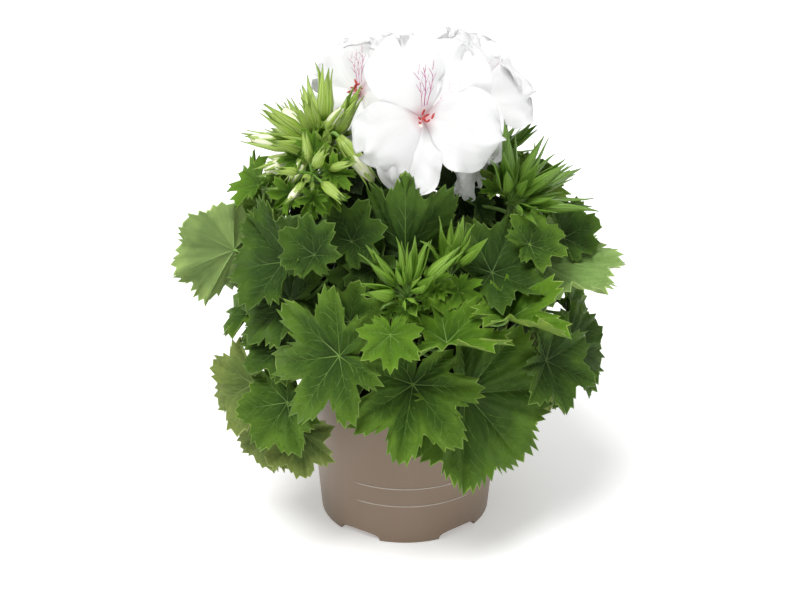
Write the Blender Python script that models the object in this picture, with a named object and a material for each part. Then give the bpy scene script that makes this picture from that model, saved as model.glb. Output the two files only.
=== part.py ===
"""Potted regal pelargonium: pot, compost, stem, boughs, foliage masses and a head of white flowers.

Metres, +Z up. The origin is on the pot's axis at the ground, and the side with the open flower's face
looks along -Y. A turn is an angle about +Z, in degrees, with 0 at -Y and 90 at +X.
"""
import math
import random
from collections import namedtuple

import bmesh
import bpy
from mathutils import Vector
from mathutils.bvhtree import BVHTree

MM = 0.001
GAP = 0.3 * MM
SEED = 11
GOLDEN_TURN = 137.5

# Pot, a 12 cm plastic one
POT_HEIGHT = 95 * MM
POT_FOOT_RADIUS = 50.5 * MM
POT_TOP_RADIUS = 58.0 * MM
POT_RIM_RADIUS = 60.0 * MM
POT_RIM_HEIGHT = 10 * MM
POT_WALL = 1.3 * MM
POT_FLOOR = 1.6 * MM
POT_SIDES = 40
POT_CHAMFER = 1.0 * MM
NOTCH_TURNS = (39, 111, 183, 255, 327)
NOTCH_HALF_WIDTH = 14 * MM
NOTCH_HEIGHT = 5 * MM
NOTCH_INNER_RADIUS = 32 * MM
NOTCH_COVER = 1.2 * MM
DRAIN_RADIUS = 3.0 * MM
DRAIN_DISTANCE = 41 * MM
DRAIN_HEIGHT = 6 * MM

# Compost, stem and boughs
COMPOST_TOP = 84 * MM
COMPOST_BOTTOM = NOTCH_HEIGHT + NOTCH_COVER + GAP
COMPOST_SIDES = 24
COMPOST_FLAT_RADIUS = 16 * MM
STEM_HEIGHT = 36 * MM
STEM_RADIUS = 6.2 * MM
STEM_TOP_RADIUS = 5.0 * MM
STEM_FLARE = 4.0 * MM
STEM_LEAN = Vector((2.0, -1.5, 0.0)) * MM
STEM_SIDES = 12
STEM_ROWS = 6
BOUGH_SIDES = 6
TWIG_SIDES = 5
SKIRT_BOUGHS = ("front", "front_right", "right", "back_right", "back", "back_left", "left", "front_left")
SKIRT_FIRST_TURN = 8
SKIRT_TURN = 360 / len(SKIRT_BOUGHS)
SKIRT_FOOT = 8 * MM
SKIRT_STEP = 2.2 * MM
SKIRT_TIP = (28 * MM, 114 * MM)
SKIRT_TWIG_TIP = (56 * MM, 130 * MM)
SKIRT_RADIUS = 2.2 * MM
SKIRT_LIFT = 30
CROWN_BOUGHS = {"front": 6, "right": 72, "back_right": 140, "back_left": -140, "left": -68}
CROWN_FOOT = 29 * MM
CROWN_TIP = (24 * MM, 152 * MM)
CROWN_RADIUS = 2.6 * MM
CROWN_LIFT = 62
FLOWER_BOUGH_TIP = Vector((3, -4, 184)) * MM
FLOWER_BOUGH_RADIUS = 3.3 * MM
FLOWER_BOUGH_REACH = 22 * MM
STRAIGHT = 1.5 * MM
CROWN_FLOOR = 150 * MM

# Leaf: lobes by their turn from the middle one and their reach as a share of the leaf's size
LOBES = ((0, 1.0), (48, 0.97), (98, 0.86), (142, 0.62), (180, 0.14))
DISH = 0.07
CUT_SHARE = 0.65
BLADE_EDGE = 0.8 * MM
BLADE_HUB = 2.2 * MM
PETIOLE_RADIUS = 1.0 * MM
STALK_BOWS = (0.0, 9 * MM, -9 * MM, 18 * MM, -18 * MM)
CLEARANCE = 0.5 * MM
LOWEST_LEAF = 44 * MM
WIDEST_LEAF = 139 * MM
SIGHT = Vector((0, -0.914, 0.407))
SLIPS = (0, -2, 2, -4, 4, -6, 7, -9, 10, -13, 13)

Leaf = namedtuple("Leaf", "home place turn tilt roll size cut droop fold")

# Leaves that show from the front: junction in mm, turn, tilt and roll of the blade, size in mm, depth
# of the cuts between lobes, droop of the middle lobe, and how far the two halves fold up, in degrees
SHOWN_LEAVES = (
    (0, -58, 186, 0, -6, 180, 46, 0.30, 0.0, -50),
    (-35, -92, 142, -28, 24, -72, 43, 0.50, 0.0, 8),
    (37, -48, 166, 10, 20, 178, 36, 0.30, 0.1, -30),
    (47, -64, 178, -5, 52, 112, 35, 0.30, 0.1, 15),
    (4, -84, 121, 8, 24, -14, 43, 0.42, 0.0, 8),
    (33, -71, 109, 24, 15, 35, 55, 0.14, 0.0, 5),
    (22, -89, 148, 0, 80, 92, 34, 0.55, 0.0, 26),
    (76, -20, 165, 15, 70, 82, 47, 0.14, 0.1, 6),
    (-97, -10, 169, 205, 10, 78, 37, 0.14, 0.0, 0),
    (55, -72, 154, 0, 82, 68, 34, 0.55, 0.0, 26),
    (-8, -98, 157, 0, 35, 0, 20, 0.30, 0.0, 12),
    (-66, -52, 179, -45, 20, -115, 38, 0.25, 0.0, 15),
    (-63, -60, 160, -45, 35, -72, 36, 0.25, 0.0, 12),
    (-65, -64, 137, -40, 30, -70, 30, 0.25, 0.0, 12),
    (-86, -42, 100, -50, 25, -48, 31, 0.30, 0.0, 10),
    (-76, -46, 74, -45, 10, 0, 27, 0.18, 0.0, 8),
    (-65, -64, 100, -35, 15, -20, 33, 0.20, 0.0, 8),
    (-58, -59, 80, -20, 15, 10, 27, 0.30, 0.0, 8),
    (78, -50, 119, 40, 25, 50, 32, 0.35, 0.0, 10),
    (92, -20, 114, 60, 30, 45, 33, 0.20, 0.0, 10),
    (87, -30, 103, 45, 15, 20, 24, 0.25, 0.0, 10),
    (17, -34, 176, 10, 20, 168, 30, 0.30, 0.1, -35),
    (-29, -40, 186, -20, 18, 165, 25, 0.25, 0.0, 10),
    (-48, -62, 187, -20, 25, -160, 24, 0.25, 0.0, 10),
    (-18, -60, 178, -20, 25, -150, 20, 0.35, 0.0, 10),
    (-30, -84, 158, -10, 25, 170, 23, 0.30, 0.0, 12),
    (-82, -10, 208, -60, 40, -95, 20, 0.40, 0.0, 25),
    (-73, -25, 195, -60, 18, -95, 22, 0.35, 0.0, 20),
    (89, -5, 174, 40, 20, 150, 24, 0.30, 0.0, 15),
    (95, 0, 126, 60, 20, 85, 22, 0.25, 0.0, 10),
    (67, -40, 184, 10, 50, 100, 24, 0.30, 0.0, 10),
    (-10, -8, 199, 0, 35, 170, 26, 0.30, 0.0, 10),
    (30, -6, 203, 15, 40, 150, 25, 0.30, 0.0, 10),
    (-36, -8, 190, -20, 40, -160, 25, 0.30, 0.0, 10),
    (-66, -22, 130, -45, 30, -60, 28, 0.25, 0.0, 10),
    (-86, -16, 136, -65, 35, -70, 26, 0.30, 0.0, 10),
)

# Rings of leaves all round: height, distance from the axis, number, tilt and size
LEAF_RINGS = (
    (90 * MM, 84 * MM, 9, 8, 33 * MM),
    (116 * MM, 92 * MM, 10, 20, 38 * MM),
    (146 * MM, 94 * MM, 10, 32, 38 * MM),
    (178 * MM, 82 * MM, 9, 38, 36 * MM),
    (205 * MM, 62 * MM, 7, 50, 30 * MM),
    (122 * MM, 66 * MM, 7, 25, 32 * MM),
    (158 * MM, 66 * MM, 7, 35, 32 * MM),
    (190 * MM, 42 * MM, 5, 50, 28 * MM),
    (172 * MM, 48 * MM, 5, 40, 26 * MM),
)
LEAF_TRIES = 24
SHOWN_SECTOR = 58
SHOWN_DEPTH = 70 * MM
SHOWN_HEIGHT = 175 * MM
SIDE_SECTOR = 115
SIDE_SHARE = 0.86
SHOWN_TRIES = 66

# Heads of buds: bough, middle in mm, turn and tilt of the head, spread, number of buds, their length
BUD_HEADS = (
    ("left", (-44, -18, 230), -72, 52, 66, 11, 30 * MM),
    ("left", (-50, -46, 228), -8, 28, 78, 7, 18 * MM),
    ("front", (1, -64, 163), -12, 60, 50, 10, 28 * MM),
    ("front", (24, -50, 170), 14, 66, 26, 5, 26 * MM),
    ("right", (58, -18, 200), 66, 52, 62, 12, 30 * MM),
    ("back_right", (50, 47, 202), 138, 43, 60, 9, 25 * MM),
    ("back_left", (-50, 46, 204), -140, 45, 60, 9, 25 * MM),
)
BUD_SHAPE = ((0.0, 0.4), (0.28, 1.0), (0.66, 0.6), (1.0, 0.06))
BUD_SLIMNESS = 0.135
PEDICEL_RADIUS = 0.9 * MM
PEDUNCLE_RADIUS = 1.8 * MM
KNOB_RADIUS = 3.0 * MM
KNOB_SHAPE = ((-1, 0.45), (-0.6, 1), (0.5, 1), (1, 0.4))
PEDICEL_SHARE = (0.35, 0.7)
BUD_SHARE = (0.75, 1.15)

# Flowers: middle in mm, turn and tilt of the face, spin of the petals, petal length. Petals: turn from
# the top, length and half width as shares of that length, and layer
FLOWER_HUB = Vector((6, -8, 226)) * MM
FLOWERS = (
    ((9, -40, 257), 0, 12, 0, 43 * MM),
    ((-25, 6, 256), -36, 36, -25, 36 * MM),
    ((40, 2, 254), 40, 30, -6, 36 * MM),
    ((10, 22, 268), 180, 72, 0, 32 * MM),
    ((42, 32, 258), 125, 35, 20, 33 * MM),
    ((-18, 42, 256), -155, 35, -15, 34 * MM),
    ((38, -12, 226), 55, -8, 20, 25 * MM),
)
PETALS = ((-17, 1.0, 0.42, 0), (32, 1.0, 0.46, -1), (104, 1.0, 0.48, 1), (-120, 0.86, 0.45, 1),
          (-163, 0.96, 0.36, 0))
PETAL_LAYER = 1.8 * MM
PETAL_ROWS = ((0.03, 0.10), (0.62, 0.95), (1.0, 0.52))
PETAL_THICKNESS = 0.8 * MM
PETAL_RISE = 0.16
FLOWER_CUP_RADIUS = 2.6 * MM
FLOWER_CUP_DEPTH = 9 * MM


def heading(turn):
    """Level unit vector at a turn about +Z."""
    a = math.radians(turn)
    return Vector((math.sin(a), -math.cos(a), 0))


def at(turn, distance, height):
    """Point at a turn, a distance from the axis and a height."""
    return heading(turn) * distance + Vector((0, 0, height))


def frame(turn, tilt, roll):
    """Unit vectors along a blade's middle lobe, across it and out of its upper face."""
    e, r = math.radians(tilt), math.radians(roll)
    level = heading(turn)
    out = level * math.cos(e) + Vector((0, 0, math.sin(e)))
    down = level * math.sin(e) - Vector((0, 0, math.cos(e)))
    along = down * math.cos(r) + out.cross(down) * math.sin(r)
    return along, out.cross(along), out


def bezier(a, b, c, d, count):
    """Points along a cubic curve."""
    points = []
    for i in range(count + 1):
        t = i / count
        s = 1 - t
        points.append(a * s ** 3 + b * 3 * s * s * t + c * 3 * s * t * t + d * t ** 3)
    return points


def tube(path, radii, sides):
    """Closed tube through the points of a path, with a radius at each."""
    verts, faces = [], []
    side = (path[1] - path[0]).orthogonal().normalized()
    for i, point in enumerate(path):
        ahead = path[min(i + 1, len(path) - 1)]
        behind = path[max(i - 1, 0)]
        along = (ahead - behind).normalized()
        side = (side - along * side.dot(along)).normalized()
        across = along.cross(side)
        for k in range(sides):
            a = 2 * math.pi * k / sides
            verts.append(point + (side * math.cos(a) + across * math.sin(a)) * radii[i])
    for i in range(len(path) - 1):
        for k in range(sides):
            m = (k + 1) % sides
            faces.append((i * sides + k, i * sides + m, (i + 1) * sides + m, (i + 1) * sides + k))
    last = (len(path) - 1) * sides
    faces.append(tuple(reversed(range(sides))))
    faces.append(tuple(last + k for k in range(sides)))
    return verts, faces


def taper(first, last, count):
    """Radii that fall evenly from the first to the last."""
    return [first + (last - first) * i / count for i in range(count + 1)]


def lathe(profile, sides):
    """Closed shape turned about +Z from (radius, height) pairs that start and end on the axis."""
    verts = [Vector((0, 0, profile[0][1])), Vector((0, 0, profile[-1][1]))]
    faces = []
    rings = profile[1:-1]
    for radius, height in rings:
        for k in range(sides):
            a = 2 * math.pi * k / sides
            verts.append(Vector((radius * math.cos(a), radius * math.sin(a), height)))
    for k in range(sides):
        m = (k + 1) % sides
        faces.append((0, 2 + m, 2 + k))
        for i in range(len(rings) - 1):
            low, high = 2 + i * sides, 2 + (i + 1) * sides
            faces.append((low + k, low + m, high + m, high + k))
        top = 2 + (len(rings) - 1) * sides
        faces.append((1, top + k, top + m))
    return verts, faces


def reach(angle, cut):
    """How far a blade reaches at an angle from its middle lobe, as a share of its size."""
    t = abs(angle)
    for (t0, r0), (t1, r1) in zip(LOBES, LOBES[1:]):
        if t <= t1:
            f = (t - t0) / (t1 - t0)
            bite = CUT_SHARE * cut * math.sin(math.pi * f) if t1 < 180 else 0
            return (r0 + (r1 - r0) * f) * (1 - bite)
    return LOBES[-1][1]


def blade_point(leaf, axes, along, across, lift):
    """Place of a point of the blade, from its distances along and across, above the mid surface."""
    x, y, n = axes
    share = (along * along + across * across) / leaf.size ** 2
    bend = leaf.size * (DISH * share - leaf.droop * max(along / leaf.size, 0) ** 2)
    fold = math.radians(leaf.fold)
    level = across * math.cos(fold) - math.copysign(lift * math.sin(fold), across)
    height = bend + abs(across) * math.sin(fold) + lift * math.cos(fold)
    return leaf.place + x * along + y * level + n * height


def blade_angles():
    """Angles of the lobes' tips and of the cuts between them, once round the blade."""
    half = []
    for (t0, _), (t1, _) in zip(LOBES, LOBES[1:]):
        half.append(t0)
        if t1 < 180:
            half.append((t0 + t1) / 2)
    return half + [180] + [-t for t in reversed(half[1:])]


def blade(leaf, extra=0.0):
    """Closed lobed blade; extra makes it thicker and wider all round, to test its clearance."""
    axes = frame(leaf.turn, leaf.tilt, leaf.roll)
    angles = blade_angles()
    verts = [blade_point(leaf, axes, 0, 0, BLADE_HUB / 2 + extra),
             blade_point(leaf, axes, 0, 0, -BLADE_HUB / 2 - extra)]
    for sign in (1, -1):
        for angle in angles:
            r = reach(angle, leaf.cut) * leaf.size + extra
            a = math.radians(angle)
            lift = sign * (BLADE_EDGE / 2 + extra)
            verts.append(blade_point(leaf, axes, r * math.cos(a), r * math.sin(a), lift))
    count = len(angles)
    faces = []
    for k in range(count):
        m = (k + 1) % count
        up, low = 2, 2 + count
        faces.append((0, up + k, up + m))
        faces.append((1, low + m, low + k))
        faces.append((low + k, low + m, up + m))
        faces.append((low + k, up + m, up + k))
    return verts, faces


def petiole_path(stalk, leaf, count):
    """Leaf stalk from its root on a twig to the blade, which it meets from behind, bowed to one side."""
    root, bow = stalk
    along, _, out = frame(leaf.turn, leaf.tilt, leaf.roll)
    end = leaf.place + out * 0.1 * MM
    span = (end - root).length
    rising = (end - root).normalized() + Vector((0, 0, 0.5))
    behind = out * 0.85 + along * 0.45
    aside = (end - root).cross(Vector((0, 0, 1))).normalized() * bow
    return bezier(root, root + rising.normalized() * span * 0.35 + aside,
                  end - behind * span * 0.35 + aside, end, count)


def petiole(stalk, leaf, extra=0.0):
    """Closed three-sided leaf stalk."""
    return tube(petiole_path(stalk, leaf, 2), [PETIOLE_RADIUS + extra] * 3, 3)


def bud(foot, along, length, sides=3):
    """Closed slender bud."""
    path = [foot + along * length * t for t, _ in BUD_SHAPE]
    return tube(path, [BUD_SLIMNESS * length * r for _, r in BUD_SHAPE], sides)


def knob(centre, along):
    """Closed swelling where the stalks of a head meet."""
    path = [centre + along * KNOB_RADIUS * t for t, _ in KNOB_SHAPE]
    return tube(path, [KNOB_RADIUS * r for _, r in KNOB_SHAPE], 6)


def head_directions(turn, tilt, spread, count):
    """Directions of the buds of one head, spiralling out from the middle one."""
    along, across, out = frame(turn, tilt, 0)
    directions = []
    for i in range(count):
        lean = math.radians(spread) * math.sqrt((i + 0.35) / count)
        spin = i * math.radians(GOLDEN_TURN)
        level = along * math.cos(spin) + across * math.sin(spin)
        directions.append(out * math.cos(lean) + level * math.sin(lean))
    return directions


def bud_head(head, draw):
    """Stalk and buds of one head, as closed pieces that reach into each other."""
    _, middle, turn, tilt, spread, count, length = head
    hub = Vector(middle) * MM
    pieces = [knob(hub, frame(turn, tilt, 0)[2])]
    for along in head_directions(turn, tilt, spread, count):
        stalk = length * draw.uniform(*PEDICEL_SHARE)
        size = length * draw.uniform(*BUD_SHARE)
        foot = hub + along * stalk
        pieces.append(tube([hub - along * 1.0 * MM, foot + along * 0.1 * size], [PEDICEL_RADIUS] * 2, 3))
        pieces.append(bud(foot, along, size))
    return pieces


def petal(centre, axes, length, petal_turn, share, width, layer):
    """Closed thin petal, narrow at its foot and broad towards its end."""
    along, across, out = axes
    a = math.radians(petal_turn)
    forward = -along * math.cos(a) + across * math.sin(a)
    sideways = out.cross(forward)
    reach_out = length * share
    verts = []
    for lift in (PETAL_THICKNESS / 2, -PETAL_THICKNESS / 2):
        for t, wide in PETAL_ROWS:
            arch_up = length * PETAL_RISE * math.sin(math.pi * 0.72 * t)
            rise = arch_up + layer * PETAL_LAYER * min(2.5 * t, 1)
            for s in (-1, 0, 1):
                edge = 1 - 0.06 * abs(s) if t == 1.0 else 1.0
                spot = centre + forward * reach_out * t * edge + sideways * s * wide * width * length
                verts.append(spot + out * (rise + lift))
    rows = len(PETAL_ROWS)
    under = rows * 3
    faces = []
    for i in range(rows - 1):
        for s in range(2):
            a0, a1, b0, b1 = i * 3 + s, i * 3 + s + 1, (i + 1) * 3 + s, (i + 1) * 3 + s + 1
            faces.append((a0, b0, b1, a1))
            faces.append((under + a0, under + a1, under + b1, under + b0))
        for s, flip in ((0, False), (2, True)):
            edge = (i * 3 + s, (i + 1) * 3 + s, under + (i + 1) * 3 + s, under + i * 3 + s)
            faces.append(edge if flip else tuple(reversed(edge)))
    for i, flip in ((0, False), (rows - 1, True)):
        for s in range(2):
            edge = (i * 3 + s, i * 3 + s + 1, under + i * 3 + s + 1, under + i * 3 + s)
            faces.append(tuple(reversed(edge)) if flip else edge)
    return verts, faces


def flower(row):
    """Stalk, cup and five petals of one flower."""
    middle, turn, tilt, spin, length = row
    centre = Vector(middle) * MM
    axes = frame(turn, tilt, 0)
    out = axes[2]
    cup = [centre - out * FLOWER_CUP_DEPTH, centre - out * FLOWER_CUP_DEPTH * 0.55, centre + out * MM]
    radii = [1.0 * MM, FLOWER_CUP_RADIUS, FLOWER_CUP_RADIUS]
    pieces = [tube(cup, radii, 5)]
    back = cup[0] + out * 2 * MM
    span = (back - FLOWER_HUB).length
    path = bezier(FLOWER_HUB, FLOWER_HUB + (back - FLOWER_HUB) * 0.3 + Vector((0, 0, span * 0.2)),
                  back - out * span * 0.3, back, 3)
    pieces.append(tube(path, [PEDICEL_RADIUS] * 4, 3))
    for petal_turn, *shape in PETALS:
        pieces.append(petal(centre, axes, length, petal_turn + spin, *shape))
    return pieces


def solid(name, verts, faces):
    """New object with a mesh of the given points and faces."""
    mesh = bpy.data.meshes.new(name)
    mesh.from_pydata([tuple(v) for v in verts], [], faces)
    mesh.update()
    obj = bpy.data.objects.new(name, mesh)
    bpy.context.scene.collection.objects.link(obj)
    return obj


def paint(obj, colour, roughness):
    """Give an object a material of its own."""
    material = bpy.data.materials.new(obj.name)
    material.use_nodes = True
    shader = material.node_tree.nodes["Principled BSDF"]
    shader.inputs["Base Color"].default_value = (*colour, 1)
    shader.inputs["Roughness"].default_value = roughness
    shader.inputs["Metallic"].default_value = 0.0
    obj.data.materials.clear()
    obj.data.materials.append(material)


def boolean(body, operation, pieces):
    """Apply one Boolean of a collection of pieces to a body and remove the pieces."""
    gathered = bpy.data.collections.new(body.name + "_pieces")
    bpy.context.scene.collection.children.link(gathered)
    for piece in pieces:
        bpy.context.scene.collection.objects.unlink(piece)
        gathered.objects.link(piece)
    modifier = body.modifiers.new("Boolean", "BOOLEAN")
    modifier.operation = operation
    modifier.solver = "MANIFOLD"
    modifier.operand_type = "COLLECTION"
    modifier.collection = gathered
    evaluated = body.evaluated_get(bpy.context.evaluated_depsgraph_get())
    mesh = bpy.data.meshes.new_from_object(evaluated)
    body.modifiers.remove(modifier)
    body.data = mesh
    for piece in pieces:
        bpy.data.objects.remove(piece)
    bpy.data.collections.remove(gathered)


def clean(obj):
    """Keep the largest closed shell of a fused mass, as triangles without flaps of no thickness."""
    bm = bmesh.new()
    bm.from_mesh(obj.data)
    bmesh.ops.triangulate(bm, faces=bm.faces)
    by_corners = {}
    for face in bm.faces:
        by_corners.setdefault(frozenset(face.verts), []).append(face)
    flaps = [face for same in by_corners.values() if len(same) > 1 for face in same]
    bmesh.ops.delete(bm, geom=flaps, context="FACES")
    shells = []
    left = set(bm.faces)
    while left:
        stack = [left.pop()]
        shell = set(stack)
        while stack:
            for edge in stack.pop().edges:
                for face in edge.link_faces:
                    if face in left:
                        left.remove(face)
                        shell.add(face)
                        stack.append(face)
        shells.append(shell)
    shells.sort(key=len, reverse=True)
    for shell in shells[1:]:
        bmesh.ops.delete(bm, geom=list(shell), context="FACES")
    bm.to_mesh(obj.data)
    bm.free()


def fuse(name, pieces):
    """One object from closed pieces that reach into each other."""
    objects = [solid(f"{name}_{i}", verts, faces) for i, (verts, faces) in enumerate(pieces)]
    body = objects[0]
    body.name = name
    boolean(body, "UNION", objects[1:])
    clean(body)
    return body


class Obstacles:
    """Pieces that are already in place, each with the name of the node it belongs to."""

    def __init__(self):
        self.items = []

    def add(self, home, kind, shape):
        """Remember a closed piece."""
        verts, faces = shape
        self.items.append((home, kind, box_of(verts), BVHTree.FromPolygons(verts, faces)))

    def free(self, shape, skip):
        """Whether a shape touches nothing, apart from the (home, kind) pairs to skip."""
        verts, faces = shape
        low, high = box_of(verts)
        tree = BVHTree.FromPolygons(verts, faces)
        for home, kind, (other_low, other_high), other in self.items:
            if (home, kind) in skip:
                continue
            if any(high[i] < other_low[i] or low[i] > other_high[i] for i in range(3)):
                continue
            if tree.overlap(other):
                return False
        return True


def box_of(verts):
    """Lowest and highest corner round some points."""
    return (tuple(min(v[i] for v in verts) for i in range(3)),
            tuple(max(v[i] for v in verts) for i in range(3)))


def wall_radius(height):
    """Outer radius of the pot's wall at a height."""
    return POT_FOOT_RADIUS + (POT_TOP_RADIUS - POT_FOOT_RADIUS) * height / POT_HEIGHT


def arch(turn, first, radius, half_width, height, foot):
    """Closed arched bar along a turn, from a first distance out to a round wall of a given radius."""
    section = [(-half_width, foot)]
    for i in range(1, 4):
        a = math.pi * (1 - i / 4)
        section.append((half_width * math.cos(a), height * math.sin(a) ** 0.6))
    section.append((half_width, foot))
    level = heading(turn)
    side = Vector((-level.y, level.x, 0))
    verts = [level * first + side * s + Vector((0, 0, z)) for s, z in section]
    verts += [level * math.sqrt(radius ** 2 - s * s) + side * s + Vector((0, 0, z)) for s, z in section]
    count = len(section)
    faces = [(k, count + k, count + (k + 1) % count, (k + 1) % count) for k in range(count)]
    faces.append(tuple(range(count)))
    faces.append(tuple(reversed(range(count, 2 * count))))
    return verts, faces


def make_pot():
    """Pot with a rim band, a flat floor, arched drain channels in its foot and a hole in each."""
    rim_foot = POT_HEIGHT - POT_RIM_HEIGHT
    inner_floor = wall_radius(POT_FLOOR) - POT_WALL
    profile = [
        (0, 0), (POT_FOOT_RADIUS - POT_CHAMFER, 0), (POT_FOOT_RADIUS, POT_CHAMFER),
        (wall_radius(rim_foot), rim_foot), (POT_RIM_RADIUS - 0.4 * MM, rim_foot + 0.6 * MM),
        (POT_RIM_RADIUS, POT_HEIGHT - POT_CHAMFER), (POT_RIM_RADIUS - 0.7 * MM, POT_HEIGHT),
        (POT_RIM_RADIUS - POT_WALL - 0.6 * MM, POT_HEIGHT),
        (wall_radius(rim_foot) - POT_WALL, rim_foot - 1 * MM), (inner_floor, POT_FLOOR), (0, POT_FLOOR),
    ]
    pot = solid("pot", *lathe(profile, POT_SIDES))
    covers, cutters = [], []
    for turn in NOTCH_TURNS:
        cover = arch(turn, NOTCH_INNER_RADIUS - NOTCH_COVER, POT_FOOT_RADIUS - 0.6 * MM,
                     NOTCH_HALF_WIDTH + NOTCH_COVER, NOTCH_HEIGHT + NOTCH_COVER, 0.5 * MM)
        channel = arch(turn, NOTCH_INNER_RADIUS, POT_RIM_RADIUS, NOTCH_HALF_WIDTH, NOTCH_HEIGHT, -1 * MM)
        low = at(turn, DRAIN_DISTANCE, NOTCH_HEIGHT - 2 * MM)
        drain = tube([low, low + Vector((0, 0, DRAIN_HEIGHT))], [DRAIN_RADIUS] * 2, 8)
        covers.append(solid("cover", *cover))
        cutters += [solid("channel", *channel), solid("drain", *drain)]
    boolean(pot, "UNION", covers)
    boolean(pot, "DIFFERENCE", cutters)
    clean(pot)
    paint(pot, (0.26, 0.19, 0.14), 0.55)


def make_compost():
    """Plug of compost that fills the pot, a little domed, 0.3 mm clear of the wall."""
    inner = POT_WALL + GAP + 0.2 * MM
    top = wall_radius(COMPOST_TOP) - inner
    profile = [
        (0, COMPOST_BOTTOM), (wall_radius(COMPOST_BOTTOM) - inner, COMPOST_BOTTOM),
        (top, COMPOST_TOP - 2 * MM), (top * 0.8, COMPOST_TOP - 0.6 * MM),
        (COMPOST_FLAT_RADIUS, COMPOST_TOP), (0, COMPOST_TOP),
    ]
    compost = solid("compost", *lathe(profile, COMPOST_SIDES))
    paint(compost, (0.05, 0.035, 0.025), 0.95)


def stem_axis(height):
    """Point on the stem's axis at a height above its foot."""
    t = height / STEM_HEIGHT
    return STEM_LEAN * t * t + Vector((0, 0, COMPOST_TOP + GAP + height))


def stem_radius(height):
    """Radius of the stem at a height above its foot, with its root flare."""
    t = height / STEM_HEIGHT
    return STEM_RADIUS + (STEM_TOP_RADIUS - STEM_RADIUS) * t + STEM_FLARE * math.exp(-9 * t)


def stem_heights():
    """Heights of the stem's rows above its foot, closer together in the root flare."""
    return [STEM_HEIGHT * (i / STEM_ROWS) ** 1.4 for i in range(STEM_ROWS + 1)]


def stem_shape():
    """Short main stem, from a flat cut on the compost to its fork."""
    heights = stem_heights()
    path = [stem_axis(h) for h in heights]
    return tube(path, [stem_radius(h) for h in heights], STEM_SIDES)


def flower_bough_path():
    """Path of the bough that goes on from the stem's end to the flowers."""
    below, top = (stem_axis(h) for h in stem_heights()[-2:])
    forward = (top - below).normalized()
    foot = top + forward * GAP
    start = foot + forward * STRAIGHT
    first = start + forward * FLOWER_BOUGH_REACH
    last = FLOWER_BOUGH_TIP - Vector((0, 0, FLOWER_BOUGH_REACH))
    return [foot] + bezier(start, first, last, FLOWER_BOUGH_TIP, 5)


def bough_path(turn, foot, tip, lift, radius, count=4):
    """Path of a bough that leaves the stem 0.3 mm clear, at a lift in degrees, and bends to its tip."""
    out = heading(turn)
    e = math.radians(lift)
    direction = out * math.cos(e) + Vector((0, 0, math.sin(e)))
    axis = stem_axis(foot)
    start = axis + out * (stem_radius(foot) + GAP + radius * math.sin(e) + 0.1 * MM)
    end = at(turn, *tip)
    span = (end - start).length
    return bezier(start, start + direction * span * 0.45, end - (out + Vector((0, 0, 0.6))) * span * 0.25,
                  end, count)


class Limb:
    """One bough and the twig of its foliage mass, which goes on from the bough's tip."""

    def __init__(self, name, path, radius, twig_end):
        self.name = name
        self.path = path
        self.radii = taper(radius, radius * 0.72, len(path) - 1)
        forward = (path[-1] - path[-2]).normalized()
        meeting = path[-1] + forward * GAP
        start = meeting + forward * STRAIGHT
        span = (twig_end - start).length
        bend = twig_end - Vector((0, 0, span * 0.25))
        self.twig = [meeting] + bezier(start, start + forward * span * 0.4, bend, twig_end, 4)
        self.twig_radii = taper(self.radii[-1], radius * 0.5, 5)

    def bough_shape(self):
        """Closed tapering bough."""
        return tube(self.path, self.radii, BOUGH_SIDES)

    def twig_shape(self):
        """Closed tapering twig."""
        return tube(self.twig, self.twig_radii, TWIG_SIDES)

    def stalks(self, place):
        """Roots on the twig and bows that a leaf stalk may have, the nearest and straightest first."""
        roots = []
        for a, b in zip(self.twig[1:], self.twig[2:]):
            roots.append(a.lerp(b, 0.5))
            roots.append(b.copy())
        nearest = sorted(roots[:-1], key=lambda p: (p - place).length)
        return [(root, bow) for bow in STALK_BOWS for root in nearest]


def make_limbs():
    """All boughs with their twigs: a skirt of eight, a crown of five and one that carries the flowers."""
    limbs = {}
    for i, name in enumerate(SKIRT_BOUGHS):
        turn = SKIRT_FIRST_TURN + SKIRT_TURN * i
        foot = SKIRT_FOOT + SKIRT_STEP * (i * 3 % len(SKIRT_BOUGHS))
        path = bough_path(turn, foot, SKIRT_TIP, SKIRT_LIFT, SKIRT_RADIUS)
        limbs["skirt_" + name] = Limb("skirt_" + name, path, SKIRT_RADIUS, at(turn, *SKIRT_TWIG_TIP))
    for name, turn in CROWN_BOUGHS.items():
        first_head = next(h for h in BUD_HEADS if h[0] == name)
        path = bough_path(turn, CROWN_FOOT, CROWN_TIP, CROWN_LIFT, CROWN_RADIUS)
        limbs["crown_" + name] = Limb("crown_" + name, path, CROWN_RADIUS, Vector(first_head[1]) * MM)
    limbs["flower_head"] = Limb("flower_head", flower_bough_path(), FLOWER_BOUGH_RADIUS, FLOWER_HUB)
    return limbs


def home_of(place):
    """Name of the foliage mass whose space holds a place: its sector, in the skirt or in the crown."""
    turn = math.degrees(math.atan2(place.x, -place.y))
    if place.z < CROWN_FLOOR:
        sector = round((turn - SKIRT_FIRST_TURN) / SKIRT_TURN) % len(SKIRT_BOUGHS)
        return "skirt_" + SKIRT_BOUGHS[sector]
    away = {name: abs((turn - t + 180) % 360 - 180) for name, t in CROWN_BOUGHS.items()}
    return "crown_" + min(away, key=away.get)


def fits(leaf, obstacles, limbs):
    """Stalk for a leaf that stays in its space and touches nothing, as its root and bow, or None."""
    verts, _ = wide = blade(leaf, CLEARANCE)
    if min(v.z for v in verts) < LOWEST_LEAF:
        return None
    if max(math.hypot(v.x, v.y) for v in verts) > WIDEST_LEAF:
        return None
    if not obstacles.free(wide, ()):
        return None
    own = {(leaf.home, "twig"), (leaf.home, "stalk")}
    for stalk in limbs[leaf.home].stalks(leaf.place):
        if obstacles.free(petiole(stalk, leaf, GAP), own):
            return stalk
    return None


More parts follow.
